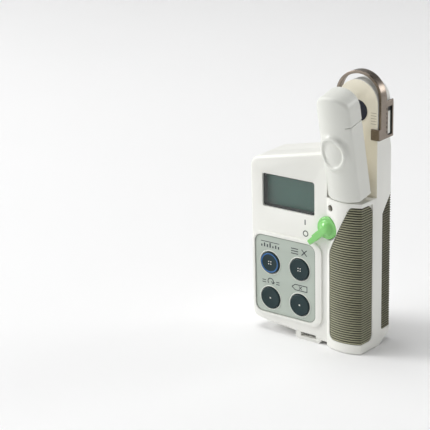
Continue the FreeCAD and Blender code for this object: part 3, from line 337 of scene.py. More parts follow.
def netted(name, field, low, high, cell, turn=False):
    # The zero surface of a field on a regular grid: one point in each crossed cell, then two steps onto
    # the surface.
    lines = [np.arange(a - 2 * cell, b + 2 * cell, cell) for a, b in zip(low, high)]
    grid = np.meshgrid(*lines, indexing="ij")
    value = field(*grid)
    inside = value < 0
    total = np.zeros(tuple(n - 1 for n in value.shape) + (3,))
    count = np.zeros(total.shape[:3])
    corners = [(i, j, k) for i in (0, 1) for j in (0, 1) for k in (0, 1)]
    span = [slice(i, n - 1 + i) for n in value.shape for i in (0, 1)]

    def part(block, corner):
        return block[span[corner[0]], span[2 + corner[1]], span[4 + corner[2]]]

    for a in corners:
        for axis in range(3):
            if a[axis]:
                continue
            b = tuple(c + (k == axis) for k, c in enumerate(a))
            va, vb = part(value, a), part(value, b)
            crossed = part(inside, a) != part(inside, b)
            share = np.where(crossed, va / np.where(crossed, va - vb, 1.0), 0.0)
            for k in range(3):
                total[..., k] += crossed * (a[k] + (share if k == axis else 0.0))
            count += crossed
    active = count > 0
    number = np.full(active.shape, -1)
    number[active] = np.arange(active.sum())
    base = np.argwhere(active)
    points = np.array([line[0] for line in lines]) + (base + total[active] / count[active][:, None]) * cell
    for step in range(2):
        here = field(*points.T)
        slope = np.stack([(field(*(points + nudge).T) - here) / 0.01 for nudge in np.eye(3) * 0.01], 1)
        move = here / np.maximum((slope ** 2).sum(1), 0.2)
        points -= slope * np.clip(move, -cell, cell)[:, None]
    faces = []
    for axis in range(3):
        one, two = (axis + 1) % 3, (axis + 2) % 3
        lowEnd = [slice(None)] * 3
        highEnd = [slice(None)] * 3
        lowEnd[axis], highEnd[axis] = slice(0, -1), slice(1, None)
        flips = inside[tuple(lowEnd)] != inside[tuple(highEnd)]
        spots = np.argwhere(flips)
        spots = spots[(spots[:, one] > 0) & (spots[:, two] > 0)]
        outward = inside[tuple(lowEnd)][tuple(spots.T)]
        ring = []
        for da, db in ((0, 0), (1, 0), (1, 1), (0, 1)):
            cellAt = spots.copy()
            cellAt[:, one] -= da
            cellAt[:, two] -= db
            ring.append(number[tuple(cellAt.T)])
        ring = np.stack(ring, 1)
        ring[~outward] = ring[~outward][:, ::-1]
        faces.append(ring)
    return drawn(name, points, np.concatenate(faces).tolist(), turn)


def both(a, b, radius):
    # Where two fields overlap, their meeting edge rounded.
    return np.minimum(np.maximum(a, b), -radius) + np.hypot(
        np.maximum(a + radius, 0), np.maximum(b + radius, 0))


def either(a, b, radius):
    # Two fields joined, the corner between them filled.
    return np.maximum(np.minimum(a, b), radius) - np.hypot(
        np.maximum(radius - a, 0), np.maximum(radius - b, 0))


def boxField(x, y, z, centre, halves, radius):
    q = [np.abs(p - c) - h + radius for p, c, h in zip((x, y, z), centre, halves)]
    outside = np.sqrt(sum(np.maximum(p, 0) ** 2 for p in q))
    return outside + np.minimum(np.maximum.reduce(q), 0) - radius


def circleThrough(a, b, c):
    ax, ay, bx, by, cx, cy = *a, *b, *c
    d = 2 * (ax * (by - cy) + bx * (cy - ay) + cx * (ay - by))
    squares = [p[0] ** 2 + p[1] ** 2 for p in (a, b, c)]
    x = (squares[0] * (by - cy) + squares[1] * (cy - ay) + squares[2] * (ay - by)) / d
    y = (squares[0] * (cx - bx) + squares[1] * (ax - cx) + squares[2] * (bx - ax)) / d
    return x, y, math.hypot(ax - x, ay - y)


# Measuring head, drawn closed and then opened about its hinge

head = {"left": 55.0, "right": 77.6, "rear": 10.9, "low": 95.4, "high": 159.8, "topRound": 11.0,
        "leftFront": 0.6, "crown": -4.0, "ridge": (77.0, 0.4), "wall": 2.0, "cell": 0.36,
        "edge": 1.6, "ridgeEdge": 0.6, "seam": 141.8,
        "dish": (65.4, 126.2), "dishHalf": (6.8, 8.4), "rim": 1.7, "rise": 1.6, "sink": 1.5,
        "lug": (62.3, 70.3), "lugDeep": 6.5, "knuckle": 3.25, "pin": 1.55}
crownAt = circleThrough((head["left"], head["leftFront"]),
                        ((head["left"] + head["ridge"][0]) / 2, head["crown"]), head["ridge"])


def headBlock(x, y, z, inset, edge, ridgeEdge):
    front = np.hypot(x - crownAt[0], y - crownAt[1]) - (crownAt[2] - inset)
    ridgeX, ridgeY = head["ridge"]
    lean = math.atan2(head["right"] - ridgeX, head["rear"] - ridgeY)
    facet = (x - ridgeX) * math.cos(lean) - (y - ridgeY) * math.sin(lean) + inset
    body = both(front, facet, ridgeEdge)
    body = both(body, head["left"] - x + inset, edge)
    middle, tall = (head["low"] + head["high"]) / 2, (head["high"] - head["low"]) / 2 - inset
    wide, centre = (head["right"] - head["left"]) / 2 - inset, (head["left"] + head["right"]) / 2
    radius = np.where(z > middle, head["topRound"] - inset, 0.6)
    qx, qz = np.abs(x - centre) - wide + radius, np.abs(z - middle) - tall + radius
    outline = np.hypot(np.maximum(qx, 0), np.maximum(qz, 0)) + np.minimum(np.maximum(qx, qz), 0) - radius
    return both(body, outline, edge)


def headField(x, y, z):
    block = np.maximum(headBlock(x, y, z, 0.0, head["edge"], head["ridgeEdge"]), y - head["rear"])
    dx, dz = (x - head["dish"][0]), (z - head["dish"][1])
    halfX, halfZ = head["dishHalf"]
    front = np.hypot(x - crownAt[0], y - crownAt[1]) - crownAt[2]

    def oval(grow):
        a, b = halfX + grow, halfZ + grow
        k = np.hypot(dx / a, dz / b)
        return (k - 1) * (a + b) / 2

    boss = both(oval(head["rim"]), front - head["rise"], 0.7)
    boss = np.maximum(boss, y - 1.0)
    block = either(block, boss, 2.6)
    floor = front + head["sink"] - head["rise"] - 0.35
    bowl = both(oval(0.0), -floor, 1.7)
    block = both(block, -bowl, 0.6)
    seam = np.maximum(np.abs(z - head["seam"]) - 0.24, 74.0 - x)
    skin = headBlock(x, y, z, 0.45, head["edge"], head["ridgeEdge"])
    block = np.maximum(block, -np.maximum(seam, -skin))
    hollow = headBlock(x, y, z, head["wall"], 0.6, 0.6)
    hollow = np.maximum(hollow, -np.maximum(oval(3.2), -front - 4.6))
    block = np.maximum(block, -hollow)
    middle = (head["lug"][0] + head["lug"][1]) / 2
    wide = (head["lug"][1] - head["lug"][0]) / 2
    lug = boxField(x, y, z, (middle, hinge["y"] - 0.7, (hinge["z"] + head["low"] + 1) / 2),
                   (wide, head["lugDeep"] / 2 - 0.7, (head["low"] + 1 - hinge["z"]) / 2), 0.3)
    axle = np.hypot(y - hinge["y"], z - hinge["z"])
    knuckle = both(axle - head["knuckle"], np.abs(x - middle) - wide, 0.3)
    block = np.minimum(block, either(lug, knuckle, 0.2))
    return np.maximum(block, head["pin"] - axle)


headMesh = netted("headShell", headField, (54.0, -7.5, 83.0), (78.5, 12.8, 160.5), head["cell"], turn=True)
headShell = added("headShell", headMesh, "handledAbs", "head", ["head_shell"])
print("head shell:", len(headMesh.polygons), "faces")


# Power lever

lever = {"at": (54.6, 74.0), "disc": 6.7, "dome": 5.0, "domeRise": 3.4, "reach": 15.8, "fall": 42.7,
         "bar": 2.1, "tip": 1.55, "step": 10.2, "front": -4.6, "tipFront": -3.5, "cell": 0.22,
         "spindle": 2.5, "end": 5.6}


def leverField(x, y, z):
    x, z = x - lever["at"][0], z - lever["at"][1]
    fall = math.radians(lever["fall"])
    along = -(x * math.cos(fall) + z * math.sin(fall))
    across = -x * math.sin(fall) + z * math.cos(fall)
    radial = np.hypot(x, z)
    disc = both(radial - lever["disc"] - np.minimum(y + 1.2, 0) * 0.6, np.abs(y + 1.15) - 1.05, 0.35)
    ball = (lever["dome"] ** 2 + lever["domeRise"] ** 2) / (2 * lever["domeRise"])
    dome = np.maximum(np.sqrt(radial ** 2 + (y + 1.6 - ball + lever["domeRise"]) ** 2) - ball, y + 0.6)
    solid = either(disc, dome, 0.7)
    front = lever["front"]
    bar = boxField(along, y, across, (lever["step"] / 2 - 0.6, (front - 1.0) / 2, 0.0),
                   (lever["step"] / 2 + 0.6, (-1.0 - front) / 2, lever["bar"]), 0.45)
    tip = boxField(along, y, across, (lever["reach"] / 2 + 2.0, (lever["tipFront"] - 1.0) / 2, 0.0),
                   (lever["reach"] / 2 - 2.0, (-1.0 - lever["tipFront"]) / 2, lever["tip"]), 0.4)
    solid = either(solid, np.minimum(bar, tip), 0.5)
    spindle = both(radial - lever["spindle"],
                   np.abs(y - lever["end"] / 2 + 0.5) - lever["end"] / 2 - 0.5, 0.3)
    return np.minimum(solid, spindle)


leverMesh = netted("powerLever", leverField, (37.0, -6.0, 60.0), (62.0, 6.0, 82.0), lever["cell"])
powerLever = added("powerLever", leverMesh, "greenAcetal", "lever", ["power_lever"])
print("power lever:", len(leverMesh.polygons), "faces")


# Rubber grips, their ribs cut by Geometry Nodes

def newTree(name, inputs):
    tree = bpy.data.node_groups.new(name, "GeometryNodeTree")
    tree.interface.new_socket("Geometry", in_out="INPUT", socket_type="NodeSocketGeometry")
    for label, kind in inputs:
        tree.interface.new_socket(label, in_out="INPUT", socket_type=kind)
    tree.interface.new_socket("Geometry", in_out="OUTPUT", socket_type="NodeSocketGeometry")
    return tree, addNode(tree, "NodeGroupInput").outputs


def sentOut(tree, geometry, finish):
    # The end of a tree: instances made real, given a finish and put out.
    whole = addNode(tree, "GeometryNodeRealizeInstances", {"Geometry": geometry})
    coated = addNode(tree, "GeometryNodeSetMaterial", {
        "Geometry": whole.outputs["Geometry"], "Material": finish})
    addNode(tree, "NodeGroupOutput", {"Geometry": coated.outputs["Geometry"]})


def grown(piece, tree, values):
    # A piece's mesh after a Geometry Nodes tree, whose inputs are set by their identifiers.
    work = piece.modifiers.new("grow", "NODES")
    work.node_group = tree
    for item in tree.interface.items_tree:
        if item.in_out == "INPUT" and item.name in values:
            work[item.identifier] = values[item.name]
    return settled(piece)


ribTree, given = newTree("ribRelief", [("Pitch", "NodeSocketFloat"), ("Depth", "NodeSocketFloat"),
                                     ("Base", "NodeSocketFloat"), ("Finish", "NodeSocketMaterial")])
place = addNode(ribTree, "GeometryNodeInputPosition").outputs["Position"]
height = addNode(ribTree, "ShaderNodeSeparateXYZ", {0: place}).outputs["Z"]
above = reckon(ribTree, "SUBTRACT", height, given["Base"])
turns = reckon(ribTree, "DIVIDE", above, given["Pitch"])
phase = reckon(ribTree, "MULTIPLY", turns, 2 * math.pi)
wave = reckon(ribTree, "COSINE", phase)
groove = addNode(ribTree, "ShaderNodeMapRange", {
    "Value": wave, "From Min": -0.75, "From Max": 0.45, "To Min": 0.0, "To Max": 1.0},
    interpolation_type="SMOOTHSTEP").outputs["Result"]
deep = reckon(ribTree, "MULTIPLY", groove, given["Depth"])
share = addNode(ribTree, "GeometryNodeInputNamedAttribute", {"Name": "ribShare"},
                data_type="FLOAT").outputs["Attribute"]
cutIn = reckon(ribTree, "MULTIPLY", deep, share)
outward = addNode(ribTree, "GeometryNodeInputNamedAttribute", {"Name": "outward"},
                  data_type="FLOAT_VECTOR").outputs["Attribute"]
inward = reckon(ribTree, "MULTIPLY", cutIn, -1.0)
shift = addNode(ribTree, "ShaderNodeVectorMath", {0: outward, "Scale": inward}, operation="SCALE").outputs[0]
moved = addNode(ribTree, "GeometryNodeSetPosition", {"Geometry": given["Geometry"], "Offset": shift})
sentOut(ribTree, moved.outputs["Geometry"], given["Finish"])


def skin(name, look, path, startAt, endAt, finishName, node):
    # A rubber skin along a path round the grip, closed at its edges, its ribs cut by Geometry Nodes.
    rows = np.arange(look["low"], look["high"] + 0.001, look["row"])
    share = np.linspace(0, 1, look["columns"])
    points, faces, ribShare, outward = [], [], [], []
    for layer in (0, 1):
        for z in rows:
            start, end = startAt(z), endAt(z)
            for k in share:
                x, y, nx, ny = path(start + (end - start) * k)
                drop = layer * look["thick"]
                edge = min((end - start) * min(k, 1 - k), z - rows[0], rows[-1] - z)
                lip = 0.45 * max(0.0, 1 - edge / 0.5) ** 2 * (1 - layer)
                points.append((x - nx * (drop + lip), y - ny * (drop + lip), z))
                ribShare.append((1 - layer) * min(1.0, max(0.0, (edge - 0.35) / 0.4)))
                outward.append((nx, ny, 0.0))
    wide, tall = len(share), len(rows)
    for layer in (0, 1):
        for i in range(tall - 1):
            for k in range(wide - 1):
                a = layer * wide * tall + i * wide + k
                quad = (a, a + 1, a + wide + 1, a + wide)
                faces.append(quad if layer == 0 else quad[::-1])
    rim = list(range(wide)) + [i * wide + wide - 1 for i in range(1, tall)]
    rim += [(tall - 1) * wide + k for k in range(wide - 2, -1, -1)]
    rim += [i * wide for i in range(tall - 2, 0, -1)]
    for a, b in zip(rim, rim[1:] + rim[:1]):
        faces.append((b, a, a + wide * tall, b + wide * tall))
    mesh = drawn(name, points, faces)
    mesh.attributes.new("ribShare", "FLOAT", "POINT").data.foreach_set("value", ribShare)
    mesh.attributes.new("outward", "FLOAT_VECTOR", "POINT").data.foreach_set(
        "vector", np.array(outward, float).ravel())
    piece = bpy.data.objects.new(name, mesh)
    scene.collection.objects.link(piece)
    mesh = grown(piece, ribTree, {"Pitch": look["pitch"] * mm, "Depth": look["depth"] * mm,
                                  "Base": origin.z + look["low"] * mm, "Finish": materials[finishName]})
    return added(name, mesh, finishName, "case", [node])


def corner(past, radius):
    # How far a rounded corner has drawn in, this far past its start.
    return radius - math.sqrt(max(0.0, radius ** 2 - past ** 2))


frontGripLook = {"low": 6.2, "high": 89.5, "row": 0.18, "columns": 40, "thick": 1.1, "pitch": 1.45,
                 "depth": 0.7, "left": 56.0, "bend": 60.2, "neck": 70.5, "ridge": 77.0, "sideBack": 10.4,
                 "draft": 13.0, "blend": 2.5, "lowRound": 4, "backRound": 6,
                 "tip": (72.362, 86.5), "tipRound": 3, "tipFrom": 87.83}
gripArc = circleThrough((53.5, 0.0), (65.25, -3.3), (frontGripLook["ridge"], 0.0))
gripEnd = math.atan2(frontGripLook["ridge"] - gripArc[0], gripArc[1])


def frontPath(u):
    # u is measured from the ridge: to the left over the crown below zero, back along the side above zero.
    if u <= 0:
        angle = gripEnd + u / gripArc[2]
        nx, ny = math.sin(angle), -math.cos(angle)
        return gripArc[0] + gripArc[2] * nx, gripArc[1] + gripArc[2] * ny, nx, ny
    lean = math.atan2(1.0, frontGripLook["draft"])
    return (frontGripLook["ridge"] + u * math.sin(lean), u * math.cos(lean),
            math.cos(lean), -math.sin(lean))


def frontStart(z):
    look = frontGripLook
    slope = (look["neck"] - look["left"]) / (look["high"] - look["bend"])
    over = (z - look["bend"]) * slope * look["blend"]
    x = look["left"] + math.log1p(math.exp(min(30.0, over))) / look["blend"]
    if z < look["low"] + look["lowRound"]:
        x = look["left"] + corner(look["low"] + look["lowRound"] - z, look["lowRound"])
    if z > look["tipFrom"]:
        x = look["tip"][0] - look["tipRound"] + corner(z - look["tip"][1], look["tipRound"])
    return (math.asin((x - gripArc[0]) / gripArc[2]) - gripEnd) * gripArc[2]


def frontEnd(z):
    look = frontGripLook
    if z < look["low"] + look["lowRound"]:
        return look["sideBack"] - corner(look["low"] + look["lowRound"] - z, look["lowRound"])
    if z > look["high"] - look["backRound"]:
        return look["sideBack"] - corner(z - look["high"] + look["backRound"], look["backRound"])
    return look["sideBack"]


frontGrip = skin("frontGrip", frontGripLook, frontPath, frontStart, frontEnd, "gripTpe", "front_grip")

backGripLook = {"low": 8.8, "high": 93.2, "row": 0.18, "columns": 34, "thick": 1.1, "pitch": 1.45,
                "depth": 0.7, "front": 20.3, "shoulder": 80.8, "inner": 63.0, "round": 2.5,
                "shoulderSlope": (10.7, 12.5), "frontRound": 2, "lowRound": 3, "highRound": 3.5}
# the flat run before the case's corner, and the run round it
backSide = caseDepth - backGripLook["round"] - backGripLook["front"]
backBend = backGripLook["round"] * math.pi / 2


def backPath(u):
    radius = backGripLook["round"]
    if u < backSide:
        return caseWide, backGripLook["front"] + u, 1.0, 0.0
    if u < backSide + backBend:
        angle = (u - backSide) / radius
        nx, ny = math.cos(angle), math.sin(angle)
        return caseWide - radius + radius * nx, caseDepth - radius + radius * ny, nx, ny
    return caseWide - radius - (u - backSide - backBend), caseDepth, 0.0, 1.0


def backStart(z):
    look = backGripLook
    if z < look["low"] + look["frontRound"]:
        return corner(look["low"] + look["frontRound"] - z, look["frontRound"])
    run, fall = look["shoulderSlope"]
    rise = max(0.0, z - look["shoulder"]) * run / fall
    if rise < backSide:
        return rise
    return backSide + look["round"] * math.asin(min(1.0, (rise - backSide) / look["round"]))


def backEnd(z):
    look = backGripLook
    length = backSide + backBend + caseWide - look["round"] - look["inner"]
    if z < look["low"] + look["lowRound"]:
        return length - corner(look["low"] + look["lowRound"] - z, look["lowRound"])
    if z > look["high"] - look["highRound"]:
        return length - corner(z - look["high"] + look["highRound"], look["highRound"])
    return length


backGrip = skin("backGrip", backGripLook, backPath, backStart, backEnd, "rearTpe", "back_grip")
print("grips ribbed:", len(frontGrip.data.polygons) + len(backGrip.data.polygons), "faces")


# Keys and their panel

def lathe(name, profile, centre, steps=72):
    # A profile of (radius, depth) turned about an axis that runs front to back.
    points, faces, rings = [], [], []
    for radius, depth in profile:
        count = 1 if radius == 0 else steps
        rings.append((len(points), count))
        for k in range(count):
            angle = 2 * math.pi * k / steps
            points.append((centre[0] + radius * math.cos(angle), centre[1] + depth,
                           centre[2] + radius * math.sin(angle)))
    for (a, na), (b, nb) in zip(rings, rings[1:] + ([rings[0]] if profile[0][0] else [])):
        for k in range(steps):
            following = (k + 1) % steps
            quad = [a + (k if na > 1 else 0), a + (following if na > 1 else 0),
                    b + (following if nb > 1 else 0), b + (k if nb > 1 else 0)]
            quad = [p for i, p in enumerate(quad) if p not in quad[:i]]
            if len(quad) > 2:
                faces.append(quad)
    return drawn(name, points, faces)


def outlined(corners, steps=10):
    # Points round a polygon of (x, z, corner radius).
    points = []
    for i, (x, z, radius) in enumerate(corners):
        here = Vector((x, z))
        before = (Vector(corners[i - 1][:2]) - here).normalized()
        after = (Vector(corners[(i + 1) % len(corners)][:2]) - here).normalized()
        half = before.angle(after) / 2
        if not radius:
            points.append(tuple(here))
            continue
        centre = here + (before + after).normalized() * radius / math.sin(half)
        start = here + before * radius / math.tan(half) - centre
        end = here + after * radius / math.tan(half) - centre
        sweep = start.angle_signed(end)
        for k in range(steps + 1):
            spot = start.copy()
            spot.rotate(Matrix.Rotation(-sweep * k / steps, 2))
            points.append(tuple(centre + spot))
    return points


def roundBox(centre, wide, tall, radius):
    x, z = centre
    return outlined([(x + a * wide / 2, z + b * tall / 2, radius)
                     for a, b in ((-1, -1), (1, -1), (1, 1), (-1, 1))])


def ring(centre, radius, steps=72):
    return [(centre[0] + radius * math.cos(2 * math.pi * k / steps),
             centre[1] + radius * math.sin(2 * math.pi * k / steps)) for k in range(steps)]


def plate(name, outlines, front, rear, edge):
    # A sheet facing the front, with holes, its edges rounded.
    curve = bpy.data.curves.new(name, "CURVE")
    curve.dimensions = "2D"
    curve.fill_mode = "BOTH"
    curve.extrude = (rear - front) / 2 - edge
    curve.bevel_depth = edge
    curve.bevel_resolution = 2
    curve.offset = -edge
    for outline in outlines:
        spline = curve.splines.new("POLY")
        spline.points.add(len(outline) - 1)
        for spot, (x, z) in zip(spline.points, outline):
            spot.co = (x, z, 0, 1)
        spline.use_cyclic_u = True
    shape = bpy.data.objects.new(name, curve)
    scene.collection.objects.link(shape)
    mesh = settled(shape)
    middle = (front + rear) / 2
    flat = [origin + Vector((v.co.x, middle - v.co.z, v.co.y)) * mm for v in mesh.vertices]
    mesh.vertices.foreach_set("co", np.array(flat, float).ravel())

    def joined(work):
        bmesh.ops.remove_doubles(work, verts=work.verts, dist=1e-6)
        bmesh.ops.recalc_face_normals(work, faces=work.faces)

    reworked(mesh, joined)
    return mesh


def inked(name, strokes, front, finishName, body, thick=0.05):
    # Printed strokes (x, z, x, z, width) as one thin mesh just proud of a face at this depth.
    points, faces = [], []
    for x0, z0, x1, z1, wide in strokes:
        run = Vector((x1 - x0, z1 - z0))
        side = Vector((-run.y, run.x)).normalized() * wide / 2
        flat = [(x0 - side.x, z0 - side.y), (x1 - side.x, z1 - side.y),
                (x1 + side.x, z1 + side.y), (x0 + side.x, z0 + side.y)]
        first = len(points)
        points += [(x, front - thick, z) for x, z in flat] + [(x, front + 0.02, z) for x, z in flat]
        faces += [(first, first + 1, first + 2, first + 3), (first + 7, first + 6, first + 5, first + 4)]
        faces += [(first + k, first + 4 + k, first + 4 + (k + 1) % 4, first + (k + 1) % 4) for k in range(4)]
    return added(name, drawn(name, points, faces), finishName, body, smooth=False)


def curved(centre, radius, start, end, wide, steps=10):
    angles = [math.radians(start + (end - start) * k / steps) for k in range(steps + 1)]
    spots = [(centre[0] + radius * math.cos(t), centre[1] + radius * math.sin(t)) for t in angles]
    return [(*a, *b, wide) for a, b in zip(spots, spots[1:])]


keyLook = {"proud": 1.3, "columns": (13.9, 34.8), "lines": (22.0, 44.3), "hole": 7.0, "dotFront": -0.98,
           "oneDot": 0.42, "fourDots": 0.3, "dotApart": 0.75}
# (radius, depth) from the middle of the cap over its rim, down to the flange and in to the stem's end
keyProfile = [(0, 0.34), (2.4, 0.30), (4.6, 0.16), (5.7, 0.02), (6.05, 0.0), (6.35, 0.10), (6.55, 0.35),
              (6.6, 0.7), (6.6, 3.65), (7.5, 3.65), (7.5, 4.55), (1.6, 4.55), (1.6, 6.2), (0, 6.2)]
keys = {
    "average": {"node": "average_key", "spot": (0, 1), "dots": 4, "ringed": True},
    "clear": {"node": "clear_key", "spot": (1, 1), "dots": 4},
    "recall": {"node": "recall_key", "spot": (0, 0), "dots": 1},
    "delete": {"node": "delete_key", "spot": (1, 0), "dots": 1},
}
holes, rims = [], []
for name, key in keys.items():
    x, z = keyLook["columns"][key["spot"][0]], keyLook["lines"][key["spot"][1]]
    key["at"] = (x, z)
    body = name + "_button"
    added(name + "Key", lathe(name + "Key", keyProfile, (x, -keyLook["proud"], z)), "slateSilicone", body,
          [key["node"]]).data.set_sharp_from_angle(angle=math.radians(50))
    single, apart = key["dots"] == 1, keyLook["dotApart"]
    dots = [(0, 0)] if single else [(-apart, -apart), (apart, -apart), (-apart, apart), (apart, apart)]
    half = keyLook["oneDot" if single else "fourDots"]
    inked(name + "Dots", [(x + a - half, z + b, x + a + half, z + b, 2 * half) for a, b in dots],
          keyLook["dotFront"], "whiteInk", body)
    if key.get("ringed"):
        band = [(5.3, 0.10), (5.3, 0.02), (5.6, -0.05), (5.95, -0.05), (6.08, 0.03), (6.08, 0.10)]
        added("averageRing", lathe("averageRing", band, (x, -keyLook["proud"], z)), "blueInk", body)
    holes.append(ring((x, z), keyLook["hole"]))
    lip = [(6.98, -0.30), (7.02, -0.52), (7.2, -0.62), (7.45, -0.58), (7.7, -0.36), (7.7, -0.30)]
    rims.append(lathe("rim", lip, (x, 0.0, z)))

panelCentre, panelFront = (24.45, 36.7), -0.35
panelMesh = plate("keyPanel", [roundBox(panelCentre, 42.5, 48.6, 4.8)] + holes, panelFront, 0.0, 0.12)
added("keyPanel", panelMesh, "printedFilm", "case", ["key_panel"])
work = bmesh.new()
for mesh in rims:
    work.from_mesh(mesh)
rimMesh = bpy.data.meshes.new("keyRims")
work.to_mesh(rimMesh)
work.free()
# the rims' lighter film is a painted highlight
added("keyRims", rimMesh, "rimHighlightFilm", "case")
# painted shade of the gap round the panel, drawn as a thin grey outline
shadowGapOutlines = [roundBox(panelCentre, 42.3, 48.4, 4.7), roundBox(panelCentre, 41.5, 47.6, 4.3)]
added("panelEdge", plate("panelEdge", shadowGapOutlines, -0.39, -0.33, 0.02), "gapShade", "case",
      smooth=False)



def overKey(name, strokes):
    # Strokes measured from a key's middle, moved to where it stands.
    x, z = keys[name]["at"]
    return [(x + a, z + b, x + c, z + d, wide) for a, b, c, d, wide in strokes]


bars = enumerate((1.4, 2.4, 1.8, 2.8, 1.2, 2.1, 1.6))
marks = overKey("average", [(k * 2.0 - 6.0, 9.3, k * 2.0 - 6.0, 9.3 + tall, 0.9) for k, tall in bars])
marks += overKey("average", [(-6.6, 12.7, 6.6, 12.7, 0.42)])
marks += overKey("clear", [(-6.0, 9.2 + k * 1.5, -1.0, 9.2 + k * 1.5, 0.55) for k in range(3)])
marks += overKey("clear", [(1.4, 9.0, 5.0, 12.6, 0.6), (1.4, 12.6, 5.0, 9.0, 0.6)])
marks += overKey("recall", curved((0, 10.3), 2.0, -40, 220, 0.55) + [
    (1.5, 9.0, 3.0, 10.2, 0.5), (1.5, 9.0, 0.5, 10.4, 0.5),
    (-6.0, 9.2, -3.4, 9.2, 0.5), (-6.0, 10.6, -3.4, 10.6, 0.5),
    (4.0, 10.6, 6.4, 10.6, 0.5), (4.0, 9.2, 6.4, 9.2, 0.5)])
marks += overKey("delete", [
    (-5.6, 10.6, -3.2, 12.4, 0.5), (-5.6, 10.6, -3.2, 8.8, 0.5), (-3.3, 12.3, 5.0, 12.3, 0.5),
    (-3.3, 8.9, 5.0, 8.9, 0.5), (5.0, 12.5, 5.0, 8.7, 0.5),
    (-0.6, 9.6, 1.4, 11.6, 0.45), (-0.6, 11.6, 1.4, 9.6, 0.45)])
inked("panelMarks", marks, panelFront, "darkInk", "case", thick=0.03)
powerMarks = [(38.6, 72.4, 38.6, 75.6, 0.7)] + curved((38.9, 67.2), 1.6, 0, 360, 0.6, steps=28)
inked("powerMarks", powerMarks, 0.0, "darkInk", "case", thick=0.03)
print("keys and panel made")


# Rows of small things, repeated by Geometry Nodes

rowTree, given = newTree("rowOf", [("Item", "NodeSocketObject"), ("Finish", "NodeSocketMaterial")])
item = addNode(rowTree, "GeometryNodeObjectInfo", {"Object": given["Item"], "As Instance": True})
spots = addNode(rowTree, "GeometryNodeInstanceOnPoints", {
    "Points": given["Geometry"], "Instance": item.outputs["Geometry"]})
sentOut(rowTree, spots.outputs["Instances"], given["Finish"])


def repeated(name, itemMesh, spots, finishName, body, nodes=(), turn=False, smooth=True):
    # One small mesh, drawn about the drafting origin, put at every spot.
    item = bpy.data.objects.new(name + "Item", itemMesh)
    scene.collection.objects.link(item)
    mesh = bpy.data.meshes.new(name)
    spots = opened(spots) if turn else np.array(spots, float)
    mesh.from_pydata([tuple(Vector(p) * mm) for p in spots], [], [])
    piece = bpy.data.objects.new(name, mesh)
    scene.collection.objects.link(piece)
    mesh = grown(piece, rowTree, {"Item": item, "Finish": materials[finishName]})
    bpy.data.objects.remove(item)
    return added(name, mesh, finishName, body, nodes, smooth)


def block(name, size, bevel=0.0):
    # A small bevelled bar about the drafting origin.
    wide, deep, tall = [v / 2 for v in size]
    points = [(x, y, z) for z in (-tall, tall) for y in (-deep, deep) for x in (-wide, wide)]
    faces = [(0, 2, 3, 1), (4, 5, 7, 6), (0, 1, 5, 4), (2, 6, 7, 3), (0, 4, 6, 2), (1, 3, 7, 5)]
    mesh = drawn(name, points, faces)
    if bevel:
        reworked(mesh, lambda work: bmesh.ops.bevel(
            work, geom=work.edges[:], offset=bevel * mm, segments=2, affect="EDGES", profile=0.5))
    return mesh


# the scale's grooves as thin raised lines in a colour of painted shade
repeated("jawTicks", block("tick", (3.6, 0.12, 0.28)), [(75.4, 13.98, 134.6 + k * 1.55) for k in range(5)],
         "tickShade", "case", smooth=False)
repeated("doorRibs", block("doorRib", (0.9, 0.5, 15.0), 0.2),
         [(4.6 + k * 1.9, 30.74, 28.9) for k in range(6)], "satinAbs", "door")


def screwField(x, y, z):
    # Pan head facing the back, with a cross recess and its shank.
    radial = np.hypot(x, z)
    dome = np.sqrt(radial ** 2 + (y + 3.4) ** 2) - 3.9
    crown = both(radial - 2.15, np.maximum(dome, -y - 1.2), 0.15)
    taper, reach = 0.35 + (y + 1.0) * 0.12, 1.25
    cross = np.minimum(np.maximum(np.abs(x) - taper, np.abs(z) - reach),
                       np.maximum(np.abs(z) - taper, np.abs(x) - reach))
    crown = np.maximum(crown, -np.maximum(cross, -y - 0.8))
    shank = np.maximum(radial - 1.2, np.abs(y + 5.0) - 4.4)
    return np.minimum(crown, shank)


screwMesh = netted("screw", screwField, (-2.4, -9.6, -2.4), (2.4, 0.7, 2.4), 0.15)
caseScrewSpots = [(4.9, 29.0, 102.0), (49.5, 29.0, 106.1), (5.0, 29.0, 68.0), (70.5, 29.0, 11.0),
                  (69.5, 29.0, 71.8)]
repeated("caseScrews", screwMesh, caseScrewSpots, "zincSteel", "case", ["case_screws"])
print("ticks, ribs and screws placed")


# Scale plate behind the stop's window

def sideTile(name, x, y0, y1, z0, z1, thick, finishName, body):
    mesh = block(name, (thick, y1 - y0, z1 - z0), 0.05)
    move = Vector((x, (y0 + y1) / 2, (z0 + z1) / 2)) * mm
    mesh.transform(Matrix.Translation(move))
    return added(name, mesh, finishName, body)


sideTile("scaleGround", 78.9, 19.8, 27.5, 126.0, 144.6, 0.2, "blackNylon", "stop")
sideTile("scaleBar", 79.15, 23.0, 25.3, 127.6, 140.6, 0.3, "whiteInk", "stop")

# Depth stop of bent strip

stop = {"at": (65.0, 148.5), "outer": 15.0, "thick": 0.9, "lip": 1.75, "lipDeep": 1.1, "front": 14.7,
        "back": 20.7, "left": 142.5, "low": 125.5, "legTop": 146.0, "legBack": 27.9, "rail": 1.1,
        "window": (135.2, 8.2), "fold": 0.9, "foldDepth": (23.8, 4.1), "earFront": 12.9, "earLeft": 74.2,
        "earTop": 131.9, "half": 0.45, "bridge": 1.4, "edge": 0.22, "cell": 0.24}
teeth = {"low": 128.0, "high": 143.4, "pitch": 2.6, "wide": 0.6, "tall": 0.62, "deep": 1.2}


